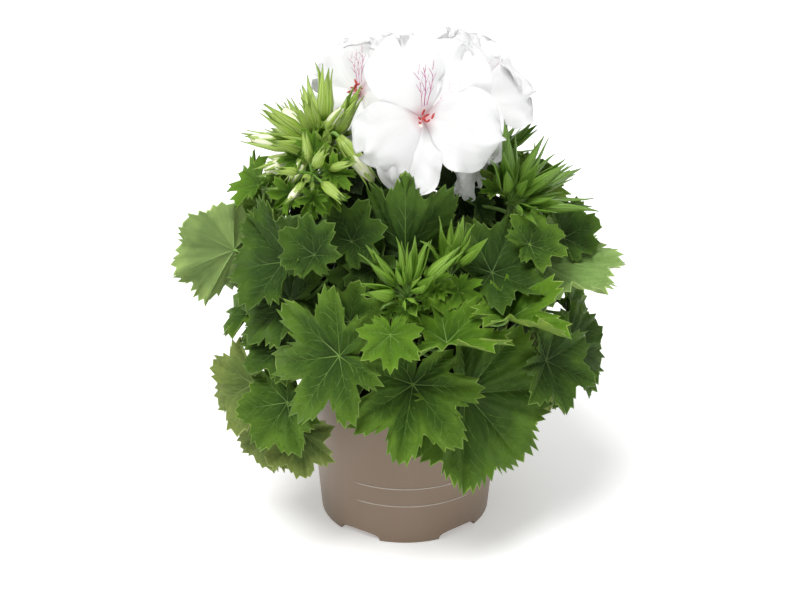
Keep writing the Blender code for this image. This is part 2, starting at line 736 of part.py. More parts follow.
def shown_leaves(obstacles, limbs, grown):
    """Place the leaves that show from the front, slipped along the line of sight until they fit."""
    draw = random.Random(SEED + 2)
    for row in SHOWN_LEAVES:
        x, y, z, turn, tilt, roll, size, cut, droop, fold = row
        for attempt in range(SHOWN_TRIES):
            slip = SLIPS[attempt % len(SLIPS)]
            ease = attempt / SHOWN_TRIES
            place = (Vector((x, y, z)) + SIGHT * slip) * MM
            leaf = Leaf(home_of(place), place, turn + draw.uniform(-18, 18) * ease,
                        tilt + draw.uniform(-14, 22) * ease, roll + draw.uniform(-12, 12) * ease,
                        size * (1 - 0.15 * ease) * MM, cut, droop, fold * (1 - 0.3 * ease))
            if grow(leaf, obstacles, limbs, grown):
                break


def ring_leaves(obstacles, limbs, grown):
    """Place rings of leaves all round, each tried with other seeded angles until it fits."""
    draw = random.Random(SEED)
    for level, (height, distance, count, tilt, size) in enumerate(LEAF_RINGS):
        front_taken = distance > SHOWN_DEPTH or height > SHOWN_HEIGHT
        for i in range(count):
            around = 360 * (i + 0.5 * (level % 2)) / count
            for attempt in range(LEAF_TRIES):
                turn = around + draw.uniform(-16, 16)
                aside = abs((turn + 180) % 360 - 180)
                if front_taken and aside < SHOWN_SECTOR:
                    continue
                away = distance * (SIDE_SHARE if aside < SIDE_SECTOR else 1)
                place = at(turn, away + draw.uniform(-9, 7) * MM, height + draw.uniform(-10, 10) * MM)
                size_now = size * (draw.uniform(0.9, 1.15) - 0.015 * attempt)
                leaf = Leaf(home_of(place), place, turn + draw.uniform(-25, 25),
                            tilt + draw.uniform(-14, 16), draw.uniform(-60, 60), size_now,
                            draw.uniform(0.2, 0.36), draw.uniform(0, 0.15), draw.uniform(4, 24))
                if grow(leaf, obstacles, limbs, grown):
                    break


def grow(leaf, obstacles, limbs, grown):
    """Add a leaf and its stalk where they fit, and say whether they did."""
    stalk = fits(leaf, obstacles, limbs)
    if stalk is None:
        return False
    grown.append((leaf, stalk))
    obstacles.add(leaf.home, "blade", blade(leaf))
    obstacles.add(leaf.home, "stalk", petiole(stalk, leaf))
    return True


def head_pieces(limbs):
    """Pieces of the bud heads and of the flowers, by the mass that they belong to."""
    draw = random.Random(SEED + 1)
    pieces = {name: [] for name in limbs}
    for head in BUD_HEADS:
        home = "crown_" + head[0]
        hub = Vector(head[1]) * MM
        root = limbs[home].twig[2]
        span = (hub - root).length
        if (hub - limbs[home].twig[-1]).length > MM:
            path = bezier(root, root.lerp(hub, 0.3), hub - Vector((0, 0, span * 0.3)), hub, 3)
            pieces[home].append(tube(path, [PEDUNCLE_RADIUS] * 4, 5))
        pieces[home] += bud_head(head, draw)
    pieces["flower_head"].append(knob(FLOWER_HUB, Vector((0, 0, 1))))
    for row in FLOWERS:
        pieces["flower_head"] += flower(row)
    return pieces


def main():
    """Build every node."""
    for obj in list(bpy.data.objects):
        bpy.data.objects.remove(obj)
    make_pot()
    make_compost()
    obstacles = Obstacles()
    stem = stem_shape()
    obstacles.add("stem", "wood", stem)
    paint(solid("main_stem", *stem), (0.16, 0.13, 0.06), 0.8)
    filled = [(0, 0), (POT_FOOT_RADIUS, 0), (POT_RIM_RADIUS, POT_HEIGHT - POT_RIM_HEIGHT),
              (POT_RIM_RADIUS, POT_HEIGHT), (POT_TOP_RADIUS, POT_HEIGHT),
              (POT_TOP_RADIUS - 2 * MM, COMPOST_TOP), (0, COMPOST_TOP)]
    obstacles.add("pot", "pot", lathe(filled, POT_SIDES))
    limbs = make_limbs()
    pieces = head_pieces(limbs)
    for name, limb in limbs.items():
        paint(solid("bough_" + name, *limb.bough_shape()), (0.15, 0.22, 0.05), 0.6)
        obstacles.add(name, "wood", limb.bough_shape())
        obstacles.add(name, "twig", limb.twig_shape())
        for piece in pieces[name]:
            obstacles.add(name, "bud", piece)
    grown = []
    shown_leaves(obstacles, limbs, grown)
    ring_leaves(obstacles, limbs, grown)
    for name, limb in limbs.items():
        parts = [limb.twig_shape()] + pieces[name]
        for leaf, stalk in grown:
            if leaf.home == name:
                parts += [petiole(stalk, leaf), blade(leaf)]
        mass = fuse("foliage_" + name if name != "flower_head" else "flower_head", parts)
        paint(mass, (0.85, 0.85, 0.82) if name == "flower_head" else (0.10, 0.22, 0.04), 0.55)
    return grown


if __name__ == "__main__":
    main()
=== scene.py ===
"""Looks of a potted regal pelargonium: pot, compost, bark, leaves, buds and white flowers.

Metres, +Z up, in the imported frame: the origin is on the pot's axis at the ground, and the side with the open
flower's face looks along -Y. A turn is an angle about +Z, in degrees, with 0 at -Y and 90 at +X. The plant
grows by the same seeded rule as its solids, with finer blades, veins, stalks, sepals and petals.
"""

import logging
import random
from dataclasses import dataclass, field
from enum import Enum
from math import asin, atan2, copysign, cos, degrees, exp, hypot, pi, radians, sin, sqrt

import bpy
import numpy as np
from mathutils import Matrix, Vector
from mathutils.bvhtree import BVHTree

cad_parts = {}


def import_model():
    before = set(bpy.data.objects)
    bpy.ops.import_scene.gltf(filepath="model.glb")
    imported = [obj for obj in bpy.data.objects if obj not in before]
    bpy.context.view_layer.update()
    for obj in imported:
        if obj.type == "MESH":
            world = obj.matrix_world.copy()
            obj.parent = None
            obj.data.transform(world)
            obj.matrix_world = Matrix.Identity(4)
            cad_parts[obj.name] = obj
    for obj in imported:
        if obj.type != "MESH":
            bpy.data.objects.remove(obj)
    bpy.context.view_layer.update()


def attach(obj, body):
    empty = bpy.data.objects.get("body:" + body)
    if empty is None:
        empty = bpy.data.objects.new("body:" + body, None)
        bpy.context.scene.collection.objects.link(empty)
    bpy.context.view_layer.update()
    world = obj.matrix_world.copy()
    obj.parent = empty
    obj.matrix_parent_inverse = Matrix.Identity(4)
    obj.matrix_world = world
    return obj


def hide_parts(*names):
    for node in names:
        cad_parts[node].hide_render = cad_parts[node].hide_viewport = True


LOG = logging.getLogger("pelargonium")

MM = 0.001
GAP = 0.3 * MM
SEED = 11
GOLDEN_TURN = 137.5
BODY = "root"
MOST_TRIANGLES = 190000

# Pot and compost
POT_HEIGHT = 95 * MM
POT_FOOT_RADIUS = 50.5 * MM
POT_TOP_RADIUS = 58.0 * MM
POT_RIM_RADIUS = 60.0 * MM
POT_RIM_HEIGHT = 10 * MM
POT_WALL = 1.3 * MM
POT_FLOOR = 1.6 * MM
POT_CHAMFER = 1.0 * MM
NOTCH_TURNS = (39, 111, 183, 255, 327)
NOTCH_HALF_WIDTH = 14 * MM
NOTCH_HEIGHT = 5 * MM
NOTCH_INNER_RADIUS = 32 * MM
NOTCH_COVER = 1.2 * MM
DRAIN_RADIUS = 3.0 * MM
DRAIN_DISTANCE = 41 * MM
DRAIN_HEIGHT = 6 * MM
COMPOST_TOP = 84 * MM
COMPOST_BOTTOM = NOTCH_HEIGHT + NOTCH_COVER + GAP

# Stem and boughs
STEM_HEIGHT = 36 * MM
STEM_RADIUS = 6.2 * MM
STEM_TOP_RADIUS = 5.0 * MM
STEM_FLARE = 4.0 * MM
STEM_LEAN = Vector((2.0, -1.5, 0.0)) * MM
STEM_ROWS = 6
SKIRT_BOUGHS = ("front", "front_right", "right", "back_right", "back", "back_left", "left", "front_left")
SKIRT_FIRST_TURN = 8
SKIRT_TURN = 360 / len(SKIRT_BOUGHS)
SKIRT_FOOT = 8 * MM
SKIRT_STEP = 2.2 * MM
SKIRT_TIP = (28 * MM, 114 * MM)
SKIRT_TWIG_TIP = (56 * MM, 130 * MM)
SKIRT_RADIUS = 2.2 * MM
SKIRT_LIFT = 30
CROWN_BOUGHS = {"front": 6, "right": 72, "back_right": 140, "back_left": -140, "left": -68}
FOLIAGE_NODES = ["foliage_skirt_" + n for n in SKIRT_BOUGHS] + ["foliage_crown_" + n for n in CROWN_BOUGHS]
CROWN_FOOT = 29 * MM
CROWN_TIP = (24 * MM, 152 * MM)
CROWN_RADIUS = 2.6 * MM
CROWN_LIFT = 62
FLOWER_BOUGH_TIP = Vector((3, -4, 184)) * MM
FLOWER_BOUGH_RADIUS = 3.3 * MM
FLOWER_BOUGH_REACH = 22 * MM
STRAIGHT = 1.5 * MM
CROWN_FLOOR = 150 * MM
BOUGH_TAPER = 0.72
TWIG_TAPER = 0.5

# Leaf: lobes by their turn from the middle one and their reach as a share of the leaf's size
LOBES = ((0, 1.0), (48, 0.97), (98, 0.86), (142, 0.62), (180, 0.14))
DISH = 0.07
CUT_SHARE = 0.65
# Share of the way out that the hub's painted shade covers on the upper face
PAINTED_SHADE_REACH = 0.45
BLADE_EDGE = 0.8 * MM
BLADE_HUB = 2.2 * MM
PETIOLE_RADIUS = 1.0 * MM
STALK_BOWS = (0.0, 9 * MM, -9 * MM, 18 * MM, -18 * MM)
CLEARANCE = 0.5 * MM
LOWEST_LEAF = 44 * MM
WIDEST_LEAF = 139 * MM

# Space that the shown leaves hold at the front, and the plant's narrower sides
SHOWN_SECTOR = 58
SHOWN_DEPTH = 70 * MM
SHOWN_HEIGHT = 175 * MM
SIDE_SECTOR = 115
SIDE_SHARE = 0.86

# Search for a shown leaf's place: slips in mm along the line of sight, and play in degrees that grows
SIGHT = Vector((0, -0.914, 0.407))
SLIPS = (0, -2, 2, -4, 4, -6, 7, -9, 10, -13, 13)
SHOWN_TRIES = 66
SHOWN_TURNS = (-18, 18)
SHOWN_TILTS = (-14, 22)
SHOWN_ROLLS = (-12, 12)
SHOWN_SHRINK = 0.15
SHOWN_UNFOLD = 0.3


class Tone(Enum):
    """Tones of foliage: painted shade inside, dark, middle, new growth, old yellowing leaves, and pale with
    painted sheen.
    """

    PAINTED_SHADE = "deep"
    DARK = "dark"
    MID = "mid"
    YOUNG = "young"
    OLD = "old"
    PALE_SHEEN = "pale"


PAINTED_SHADE, DARK, MID, YOUNG, OLD, PALE_SHEEN = Tone

# Leaves that show from the front: junction in mm, turn, tilt and roll of the blade, size in mm, depth of
# the cuts between lobes, droop of the middle lobe, how far the halves fold up, in degrees, and the tone
SHOWN_LEAVES = (
    (0, -58, 186, 0, -6, 180, 46, 0.3, 0.0, -50, DARK),
    (-35, -92, 142, -28, 24, -72, 43, 0.5, 0.0, 8, MID),
    (37, -48, 166, 10, 20, 178, 36, 0.3, 0.1, -30, DARK),
    (47, -64, 178, -5, 52, 112, 35, 0.3, 0.1, 15, DARK),
    (4, -84, 121, 8, 24, -14, 43, 0.42, 0.0, 8, MID),
    (33, -71, 109, 24, 15, 35, 55, 0.14, 0.0, 5, MID),
    (22, -89, 148, 0, 80, 92, 34, 0.55, 0.0, 26, YOUNG),
    (76, -20, 165, 15, 70, 82, 47, 0.14, 0.1, 6, PALE_SHEEN),
    (-97, -10, 169, 205, 10, 78, 37, 0.14, 0.0, 0, PALE_SHEEN),
    (55, -72, 154, 0, 82, 68, 34, 0.55, 0.0, 26, YOUNG),
    (-8, -98, 157, 0, 35, 0, 20, 0.3, 0.0, 12, YOUNG),
    (-66, -52, 179, -45, 20, -115, 38, 0.25, 0.0, 15, DARK),
    (-63, -60, 160, -45, 35, -72, 36, 0.25, 0.0, 12, DARK),
    (-65, -64, 137, -40, 30, -70, 30, 0.25, 0.0, 12, DARK),
    (-86, -42, 100, -50, 25, -48, 31, 0.3, 0.0, 10, OLD),
    (-76, -46, 74, -45, 10, 0, 27, 0.18, 0.0, 8, OLD),
    (-65, -64, 100, -35, 15, -20, 33, 0.2, 0.0, 8, MID),
    (-58, -59, 80, -20, 15, 10, 27, 0.3, 0.0, 8, OLD),
    (78, -50, 119, 40, 25, 50, 32, 0.35, 0.0, 10, DARK),
    (92, -20, 114, 60, 30, 45, 33, 0.2, 0.0, 10, DARK),
    (87, -30, 103, 45, 15, 20, 24, 0.25, 0.0, 10, DARK),
    (17, -34, 176, 10, 20, 168, 30, 0.3, 0.1, -35, DARK),
    (-29, -40, 186, -20, 18, 165, 25, 0.25, 0.0, 10, DARK),
    (-48, -62, 187, -20, 25, -160, 24, 0.25, 0.0, 10, DARK),
    (-18, -60, 178, -20, 25, -150, 20, 0.35, 0.0, 10, DARK),
    (-30, -84, 158, -10, 25, 170, 23, 0.3, 0.0, 12, MID),
    (-82, -10, 208, -60, 40, -95, 20, 0.4, 0.0, 25, YOUNG),
    (-73, -25, 195, -60, 18, -95, 22, 0.35, 0.0, 20, MID),
    (89, -5, 174, 40, 20, 150, 24, 0.3, 0.0, 15, DARK),
    (95, 0, 126, 60, 20, 85, 22, 0.25, 0.0, 10, MID),
    (67, -40, 184, 10, 50, 100, 24, 0.3, 0.0, 10, MID),
    # Three small leaves inside, below the flowers, in the near-black tone of painted shade
    (-10, -8, 199, 0, 35, 170, 26, 0.3, 0.0, 10, PAINTED_SHADE),
    (30, -6, 203, 15, 40, 150, 25, 0.3, 0.0, 10, PAINTED_SHADE),
    (-36, -8, 190, -20, 40, -160, 25, 0.3, 0.0, 10, PAINTED_SHADE),
    (-66, -22, 130, -45, 30, -60, 28, 0.25, 0.0, 10, DARK),
    (-86, -16, 136, -65, 35, -70, 26, 0.3, 0.0, 10, MID),
)

# Rings of leaves all round: height and distance from the axis in mm, number, tilt, size in mm and tones
LEAF_RINGS = (
    (90, 84, 9, 8, 33, (MID, OLD, DARK)),
    (116, 92, 10, 20, 38, (DARK, MID)),
    (146, 94, 10, 32, 38, (MID, DARK)),
    (178, 82, 9, 38, 36, (MID, YOUNG, DARK)),
    (205, 62, 7, 50, 30, (YOUNG, MID)),
    (122, 66, 7, 25, 32, (PAINTED_SHADE, DARK)),
    (158, 66, 7, 35, 32, (DARK,)),
    (190, 42, 5, 50, 28, (DARK, MID)),
    (172, 48, 5, 40, 26, (PAINTED_SHADE, DARK)),
)

# Ranges round a ring's own values for each leaf, in degrees, in mm and as shares of the size
LEAF_TRIES = 24
RING_PLACES = (-16, 16)
RING_DISTANCES = (-9, 7)
RING_HEIGHTS = (-10, 10)
RING_SIZES = (0.9, 1.15)
RING_TURNS = (-25, 25)
RING_TILTS = (-14, 16)
RING_ROLLS = (-60, 60)
RING_CUTS = (0.2, 0.36)
RING_DROOPS = (0, 0.15)
RING_FOLDS = (4, 24)
RING_SHRINK = 0.015

# Rings of small leaves inside the plant, most of them in the near-black tone of painted shade
SHADED_RINGS = (
    (100, 52, 9, 10, 26, (PAINTED_SHADE,)),
    (124, 46, 9, 25, 26, (PAINTED_SHADE,)),
    (138, 74, 10, 25, 26, (PAINTED_SHADE, DARK)),
    (152, 44, 9, 30, 26, (PAINTED_SHADE,)),
    (168, 70, 10, 35, 25, (DARK, PAINTED_SHADE)),
    (182, 34, 7, 45, 24, (PAINTED_SHADE,)),
    (205, 34, 6, 60, 22, (DARK, PAINTED_SHADE)),
    (146, 58, 11, 20, 21, (PAINTED_SHADE,)),
    (192, 52, 9, 40, 20, (PAINTED_SHADE, DARK)),
    (176, 58, 11, 30, 20, (PAINTED_SHADE,)),
)


class BudTone(Enum):
    """Tones of bud heads: pale yellow-green where they are about to open, mid green while they are small."""

    BRIGHT = "bright"
    FRESH = "fresh"
    GREEN = "green"


BRIGHT, FRESH, GREEN = BudTone

# Heads of buds: bough, middle in mm, turn and tilt of the head, spread, number of buds, length in mm and tone
BUD_HEADS = (
    ("left", (-44, -18, 230), -72, 52, 66, 11, 30, BRIGHT),
    ("left", (-50, -46, 228), -8, 28, 78, 7, 18, BRIGHT),
    ("front", (1, -64, 163), -12, 60, 50, 10, 28, FRESH),
    ("front", (24, -50, 170), 14, 66, 26, 5, 26, FRESH),
    ("right", (58, -18, 200), 66, 52, 62, 12, 30, GREEN),
    ("back_right", (50, 47, 202), 138, 43, 60, 9, 25, GREEN),
    ("back_left", (-50, 46, 204), -140, 45, 60, 9, 25, BRIGHT),
)
# Buds about to open: foot and tip in mm, and slimness
RIPE_BUDS = (
    ((-36, -30, 243), (-16, -38, 219), 0.17),
    ((-45, -24, 243), (-33, -30, 260), 0.17),
    ((-52, -34, 236), (-62, -48, 222), 0.19),
)
BUD_SHAPE = ((0.0, 0.4), (0.28, 1.0), (0.66, 0.6), (1.0, 0.06))
BUD_SLIMNESS = 0.135
PEDICEL_RADIUS = 0.9 * MM
PEDUNCLE_RADIUS = 1.8 * MM
PEDICEL_SHARE = (0.35, 0.7)
BUD_SHARE = (0.75, 1.15)

# Flowers: middle in mm, turn and tilt of the face, spin of the petals, petal length. Petals: turn from
# the top, length and half width as shares of that length, and layer
FLOWER_HUB = Vector((6, -8, 226)) * MM
FLOWERS = (
    ((9, -40, 257), 0, 12, 0, 43 * MM),
    ((-25, 6, 256), -36, 36, -25, 36 * MM),
    ((40, 2, 254), 40, 30, -6, 36 * MM),
    ((10, 22, 268), 180, 72, 0, 32 * MM),
    ((42, 32, 258), 125, 35, 20, 33 * MM),
    ((-18, 42, 256), -155, 35, -15, 34 * MM),
    ((38, -12, 226), 55, -8, 20, 25 * MM),
)
PETALS = ((-17, 1.0, 0.42, 0), (32, 1.0, 0.46, -1), (104, 1.0, 0.48, 1), (-120, 0.86, 0.45, 1),
          (-163, 0.96, 0.36, 0))
# Feathered marks on the first two petals: radius in mm, sides that they start on, and how far up they go
PETAL_MARKS = ((0.4, (-0.62, -0.4, -0.22), 0.54), (0.18, (-0.42, -0.16), 0.42))
PETAL_LAYER = 1.8 * MM
PETAL_RISE = 0.16
FLOWER_CUP_DEPTH = 9 * MM

Colour = tuple[float, float, float]
Stalk = tuple[Vector, float]
Coarse = tuple[list[Vector], list[tuple[int, ...]]]
Array = np.ndarray
Draw = random.Random
Lines = list[tuple[Array, Array]]
Socket = bpy.types.NodeSocket
Material = bpy.types.Material
Piece = bpy.types.Object


def heading(turn: float) -> Vector:
    """Level unit vector at a turn about +Z, in degrees."""
    a = radians(turn)
    return Vector((sin(a), -cos(a), 0))


def upward(height: float) -> Vector:
    """Vector straight up."""
    return Vector((0, 0, height))


def at(turn: float, distance: float, height: float) -> Vector:
    """Point at a turn, a distance from the axis and a height."""
    return heading(turn) * distance + upward(height)


def spun(first: Vector, second: Vector, angle: float) -> Vector:
    """Direction between two that are square to each other, at an angle from the first in radians."""
    return first * cos(angle) + second * sin(angle)


def axes_of(turn: float, tilt: float, roll: float) -> tuple[Vector, Vector, Vector]:
    """Unit vectors of a blade or a face.

    Args:
        turn: heading of the upper face, in degrees.
        tilt: lift of the upper face above the horizon, in degrees.
        roll: turn of the middle lobe in the blade's plane, in degrees from straight down.

    Returns:
        The directions along the middle lobe, across it and out of the upper face.
    """
    e, r = radians(tilt), radians(roll)
    level = heading(turn)
    out = level * cos(e) + upward(sin(e))
    down = level * sin(e) - upward(cos(e))
    along = spun(down, out.cross(down), r)
    return along, out.cross(along), out


def bezier(a: Vector, b: Vector, c: Vector, d: Vector, count: int) -> list[Vector]:
    """Points along a cubic curve, count + 1 of them."""
    points = []
    for i in range(count + 1):
        t = i / count
        s = 1 - t
        points.append(a * s ** 3 + b * 3 * s * s * t + c * 3 * s * t * t + d * t ** 3)
    return points


def strand(path: list[Vector], first: float, last: float) -> tuple[Array, Array]:
    """Line of points with radii that go evenly from the first to the last, in mm."""
    return np.array(path), np.linspace(first, last, len(path)) * MM


def taper(first: float, last: float, count: int) -> list[float]:
    """Radii that fall evenly from the first to the last, count + 1 of them."""
    return [first + (last - first) * i / count for i in range(count + 1)]


def smooth_step(low: float, high: float, value: Array) -> Array:
    """Smooth rise from 0 at low to 1 at high."""
    t = np.clip((value - low) / (high - low), 0, 1)
    return t * t * (3 - 2 * t)


def loft(rings: list[list[Vector]]) -> Coarse:
    """Closed skin through rings that have the same number of points."""
    sides = len(rings[0])
    last = (len(rings) - 1) * sides
    faces = [(i + k, i + (k + 1) % sides, i + sides + (k + 1) % sides, i + sides + k)
             for i in range(0, last, sides) for k in range(sides)]
    faces += [tuple(reversed(range(sides))), tuple(range(last, last + sides))]
    return [point for ring in rings for point in ring], faces


def coarse_tube(path: list[Vector], radii: list[float], sides: int) -> Coarse:
    """Closed plain tube through the points of a path, with a radius at each."""
    rings = []
    side = (path[1] - path[0]).orthogonal().normalized()
    for i, (point, radius) in enumerate(zip(path, radii)):
        along = (path[min(i + 1, len(path) - 1)] - path[max(i - 1, 0)]).normalized()
        side = (side - along * side.dot(along)).normalized()
        across = along.cross(side)
        rings.append([point + spun(side, across, 2 * pi * k / sides) * radius for k in range(sides)])
    return loft(rings)


def lathe(profile: list[tuple[float, float]], sides: int) -> Coarse:
    """Closed shape turned about +Z from (radius, height) pairs that start and end on the axis."""
    verts = [upward(profile[0][1]), upward(profile[-1][1])]
    faces = []
    rings = profile[1:-1]
    for radius, height in rings:
        for k in range(sides):
            a = 2 * pi * k / sides
            verts.append(Vector((radius * cos(a), radius * sin(a), height)))
    for k in range(sides):
        m = (k + 1) % sides
        faces.append((0, 2 + m, 2 + k))
        for i in range(len(rings) - 1):
            low, high = 2 + i * sides, 2 + (i + 1) * sides
            faces.append((low + k, low + m, high + m, high + k))
        top = 2 + (len(rings) - 1) * sides
        faces.append((1, top + k, top + m))
    return verts, faces


def box_of(verts: list[Vector]) -> tuple[tuple[float, ...], tuple[float, ...]]:
    """Lowest and highest corner round some points."""
    return (tuple(min(v[i] for v in verts) for i in range(3)),
            tuple(max(v[i] for v in verts) for i in range(3)))


def wall_radius(height: float) -> float:
    """Outer radius of the pot's wall at a height."""
    return POT_FOOT_RADIUS + (POT_TOP_RADIUS - POT_FOOT_RADIUS) * height / POT_HEIGHT


@dataclass
class Shape:
    """One closed surface: its points, its faces and their slots, and each point's place in its own plane."""

    points: Array
    faces: list
    slots: Array
    plane: Array

    @classmethod
    def plain(cls, points: Array, faces: list) -> "Shape":
        """Shape that is all in slot 0, with its points as their own plane places."""
        return cls(points, faces, np.zeros(len(faces), int), points)

    def triangles(self) -> int:
        """Number of triangles that the faces come to."""
        return sum(len(face) - 2 for face in self.faces)


def sheet(grid: Array, thickness: float, plane: Array) -> Shape:
    """Closed thin shell round a grid of points.

    Args:
        grid: points as an array of rows, columns and 3.
        thickness: of the shell, in metres.
        plane: a place in the sheet's own plane for each point, in the same layout.

    Returns:
        The shell, all in slot 0.
    """
    rows, columns, _ = grid.shape
    normal = np.cross(np.gradient(grid, axis=0), np.gradient(grid, axis=1))
    normal /= np.maximum(np.linalg.norm(normal, axis=2, keepdims=True), 1e-12)
    top = (grid + normal * thickness / 2).reshape(-1, 3)
    low = (grid - normal * thickness / 2).reshape(-1, 3)
    index = np.arange(rows * columns).reshape(rows, columns)
    a, b = index[:-1, :-1].ravel(), index[:-1, 1:].ravel()
    c, d = index[1:, 1:].ravel(), index[1:, :-1].ravel()
    under = rows * columns
    loop = np.concatenate((index[0, :], index[1:, -1], index[-1, -2::-1], index[-2:0:-1, 0]))
    ahead = np.roll(loop, -1)
    quads = np.concatenate((
        np.stack((a, d, c, b), 1),
        np.stack((a, b, c, d), 1) + under,
        np.stack((loop, ahead, ahead + under, loop + under), 1),
    ))
    shell = Shape.plain(np.concatenate((top, low)), quads.tolist())
    shell.plane = np.concatenate((plane.reshape(-1, 3),) * 2)
    return shell


def ball(centre: Array, radii: Array, axes: Array, sides: int, rows: int) -> Shape:
    """Closed ellipsoid with three radii along three axes."""
    profile = [(sin(pi * i / rows), -cos(pi * i / rows)) for i in range(rows + 1)]
    verts, faces = lathe(profile, sides)
    return Shape.plain(centre + (np.array(verts) * radii) @ axes, faces)


def mesh_object(name: str, shapes: list[Shape], materials: list[Material]) -> Piece:
    """One smooth object from several closed shapes, with their plane places as an attribute."""
    faces, start = [], 0
    for shape in shapes:
        faces += [[start + k for k in face] for face in shape.faces]
        start += len(shape.points)
    obj = plain_object(name, (np.concatenate([s.points for s in shapes]), faces))
    mesh = obj.data
    slots = np.concatenate([s.slots for s in shapes])
    mesh.polygons.foreach_set("material_index", slots.astype(np.int32))
    mesh.shade_smooth()
    places = mesh.attributes.new("plane", "FLOAT_VECTOR", "POINT").data
    places.foreach_set("vector", np.concatenate([s.plane for s in shapes]).astype(np.float32).ravel())
    for material in materials:
        mesh.materials.append(material)
    return obj


def linked(name: str, data: bpy.types.ID) -> Piece:
    """New object with some data, in the scene."""
    obj = bpy.data.objects.new(name, data)
    bpy.context.scene.collection.objects.link(obj)
    return obj


def plain_object(name: str, shape: Coarse) -> Piece:
    """Object from points and faces."""
    mesh = bpy.data.meshes.new(name)
    mesh.from_pydata([tuple(v) for v in shape[0]], [], shape[1])
    return linked(name, mesh)


def settle(obj: Piece, nodes: list[str]) -> None:
    """Let a finished piece ride on the plant's body, in the place of some nodes.

    Args:
        obj: the piece.
        nodes: names of the nodes that it stands for.
    """
    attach(obj, BODY)
    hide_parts(*nodes)
    LOG.info("%s: %d faces", obj.name, len(obj.data.polygons))


def lay(name: str, shapes: list[Shape], materials: list[Material], nodes: list[str]) -> None:
    """Join closed shapes into pieces, as few as the limit of triangles allows, and settle them."""
    groups, held = [[]], 0
    for shape in shapes:
        held += shape.triangles()
        if held > MOST_TRIANGLES:
            groups.append([])
            held = shape.triangles()
        groups[-1].append(shape)
    for i, group in enumerate(groups):
        settle(mesh_object(f"{name}_{i + 1}" if len(groups) > 1 else name, group, materials), nodes)


class Shader:
    """Nodes of one material, added and linked in a few words."""

    def __init__(self, name: str, colour: Colour, roughness: float) -> None:
        """Start a material with a plain colour and roughness."""
        self.material = bpy.data.materials.new(name)
        self.material.use_nodes = True
        self.tree = self.material.node_tree
        self.surface = self.tree.nodes["Principled BSDF"]
        self.set("Base Color", (*colour, 1))
        self.set("Roughness", roughness)

    def set(self, socket: str, value: float | tuple) -> None:
        """Set a constant on the surface shader."""
        self.surface.inputs[socket].default_value = value

    def add(self, kind: str, inputs: dict | None = None, **settings: object) -> bpy.types.Node:
        """Add a shader node with given inputs, each a value or an output to link, and settings."""
        node = self.tree.nodes.new("ShaderNode" + kind)
        for key, value in settings.items():
            setattr(node, key, value)
        for key, value in (inputs or {}).items():
            if isinstance(value, Socket):
                self.tree.links.new(value, node.inputs[key])
            else:
                node.inputs[key].default_value = value
        return node

    def feed(self, socket: str, output: Socket) -> None:
        """Link an output to the surface shader."""
        self.tree.links.new(output, self.surface.inputs[socket])

    def object_place(self) -> Socket:
        """Coordinates of the object, in metres."""
        return self.add("TexCoord").outputs["Object"]

    def plane(self) -> Socket:
        """Place in the sheet's own plane."""
        return self.add("Attribute", attribute_name="plane").outputs["Vector"]

    def noise(self, place: Socket, scale: float, detail: float = 2.0) -> Socket:
        """Soft noise from 0 to 1."""
        return self.add("TexNoise", {"Vector": place, "Scale": scale, "Detail": detail}).outputs["Fac"]

    def ramp(self, value: Socket, low: float, high: float,
             to_low: float = 0.0, to_high: float = 1.0) -> Socket:
        """Value mapped smoothly from one range to another, and held at its ends."""
        node = self.add("MapRange", {"Value": value, "From Min": low, "From Max": high, "To Min": to_low,
                                     "To Max": to_high}, interpolation_type="SMOOTHSTEP")
        return node.outputs["Result"]

    def blend(self, factor: Socket, first: object, second: object) -> Socket:
        """Colour between two colours or outputs."""
        node = self.add("Mix", data_type="RGBA")
        self.tree.links.new(factor, node.inputs[0])
        for index, value in ((6, first), (7, second)):
            if isinstance(value, Socket):
                self.tree.links.new(value, node.inputs[index])
            else:
                node.inputs[index].default_value = (*value, 1)
        return node.outputs[2]

    def mottle(self, scale: float, first: Colour, second: Colour, detail: float = 2.0,
               low: float = 0.35, high: float = 0.65, most: float = 1.0) -> Socket:
        """Give the surface two colours in soft patches, and return the noise that they follow."""
        spread = self.noise(self.object_place(), scale, detail)
        self.feed("Base Color", self.blend(self.ramp(spread, low, high, 0.0, most), first, second))
        return spread

    def wave(self, value: Socket, count: float) -> Socket:
        """Sine of a value times a number."""
        times = self.add("Math", {0: value, 1: count}, operation="MULTIPLY")
        return self.add("Math", {0: times.outputs[0]}, operation="SINE").outputs[0]

    def translucent(self, weight: float, tint: Colour, depth: float) -> None:
        """Let light into the surface, with a tint and a depth in mm."""
        self.set("Subsurface Weight", weight)
        self.set("Subsurface Radius", tint)
        self.set("Subsurface Scale", depth * MM)

    def bump(self, height: Socket, distance: float, strength: float = 1.0,
             before: Socket | None = None) -> Socket:
        """Normal from a height, on top of another normal where one is given."""
        inputs = {"Height": height, "Distance": distance, "Strength": strength}
        if before is not None:
            inputs["Normal"] = before
        return self.add("Bump", inputs).outputs["Normal"]


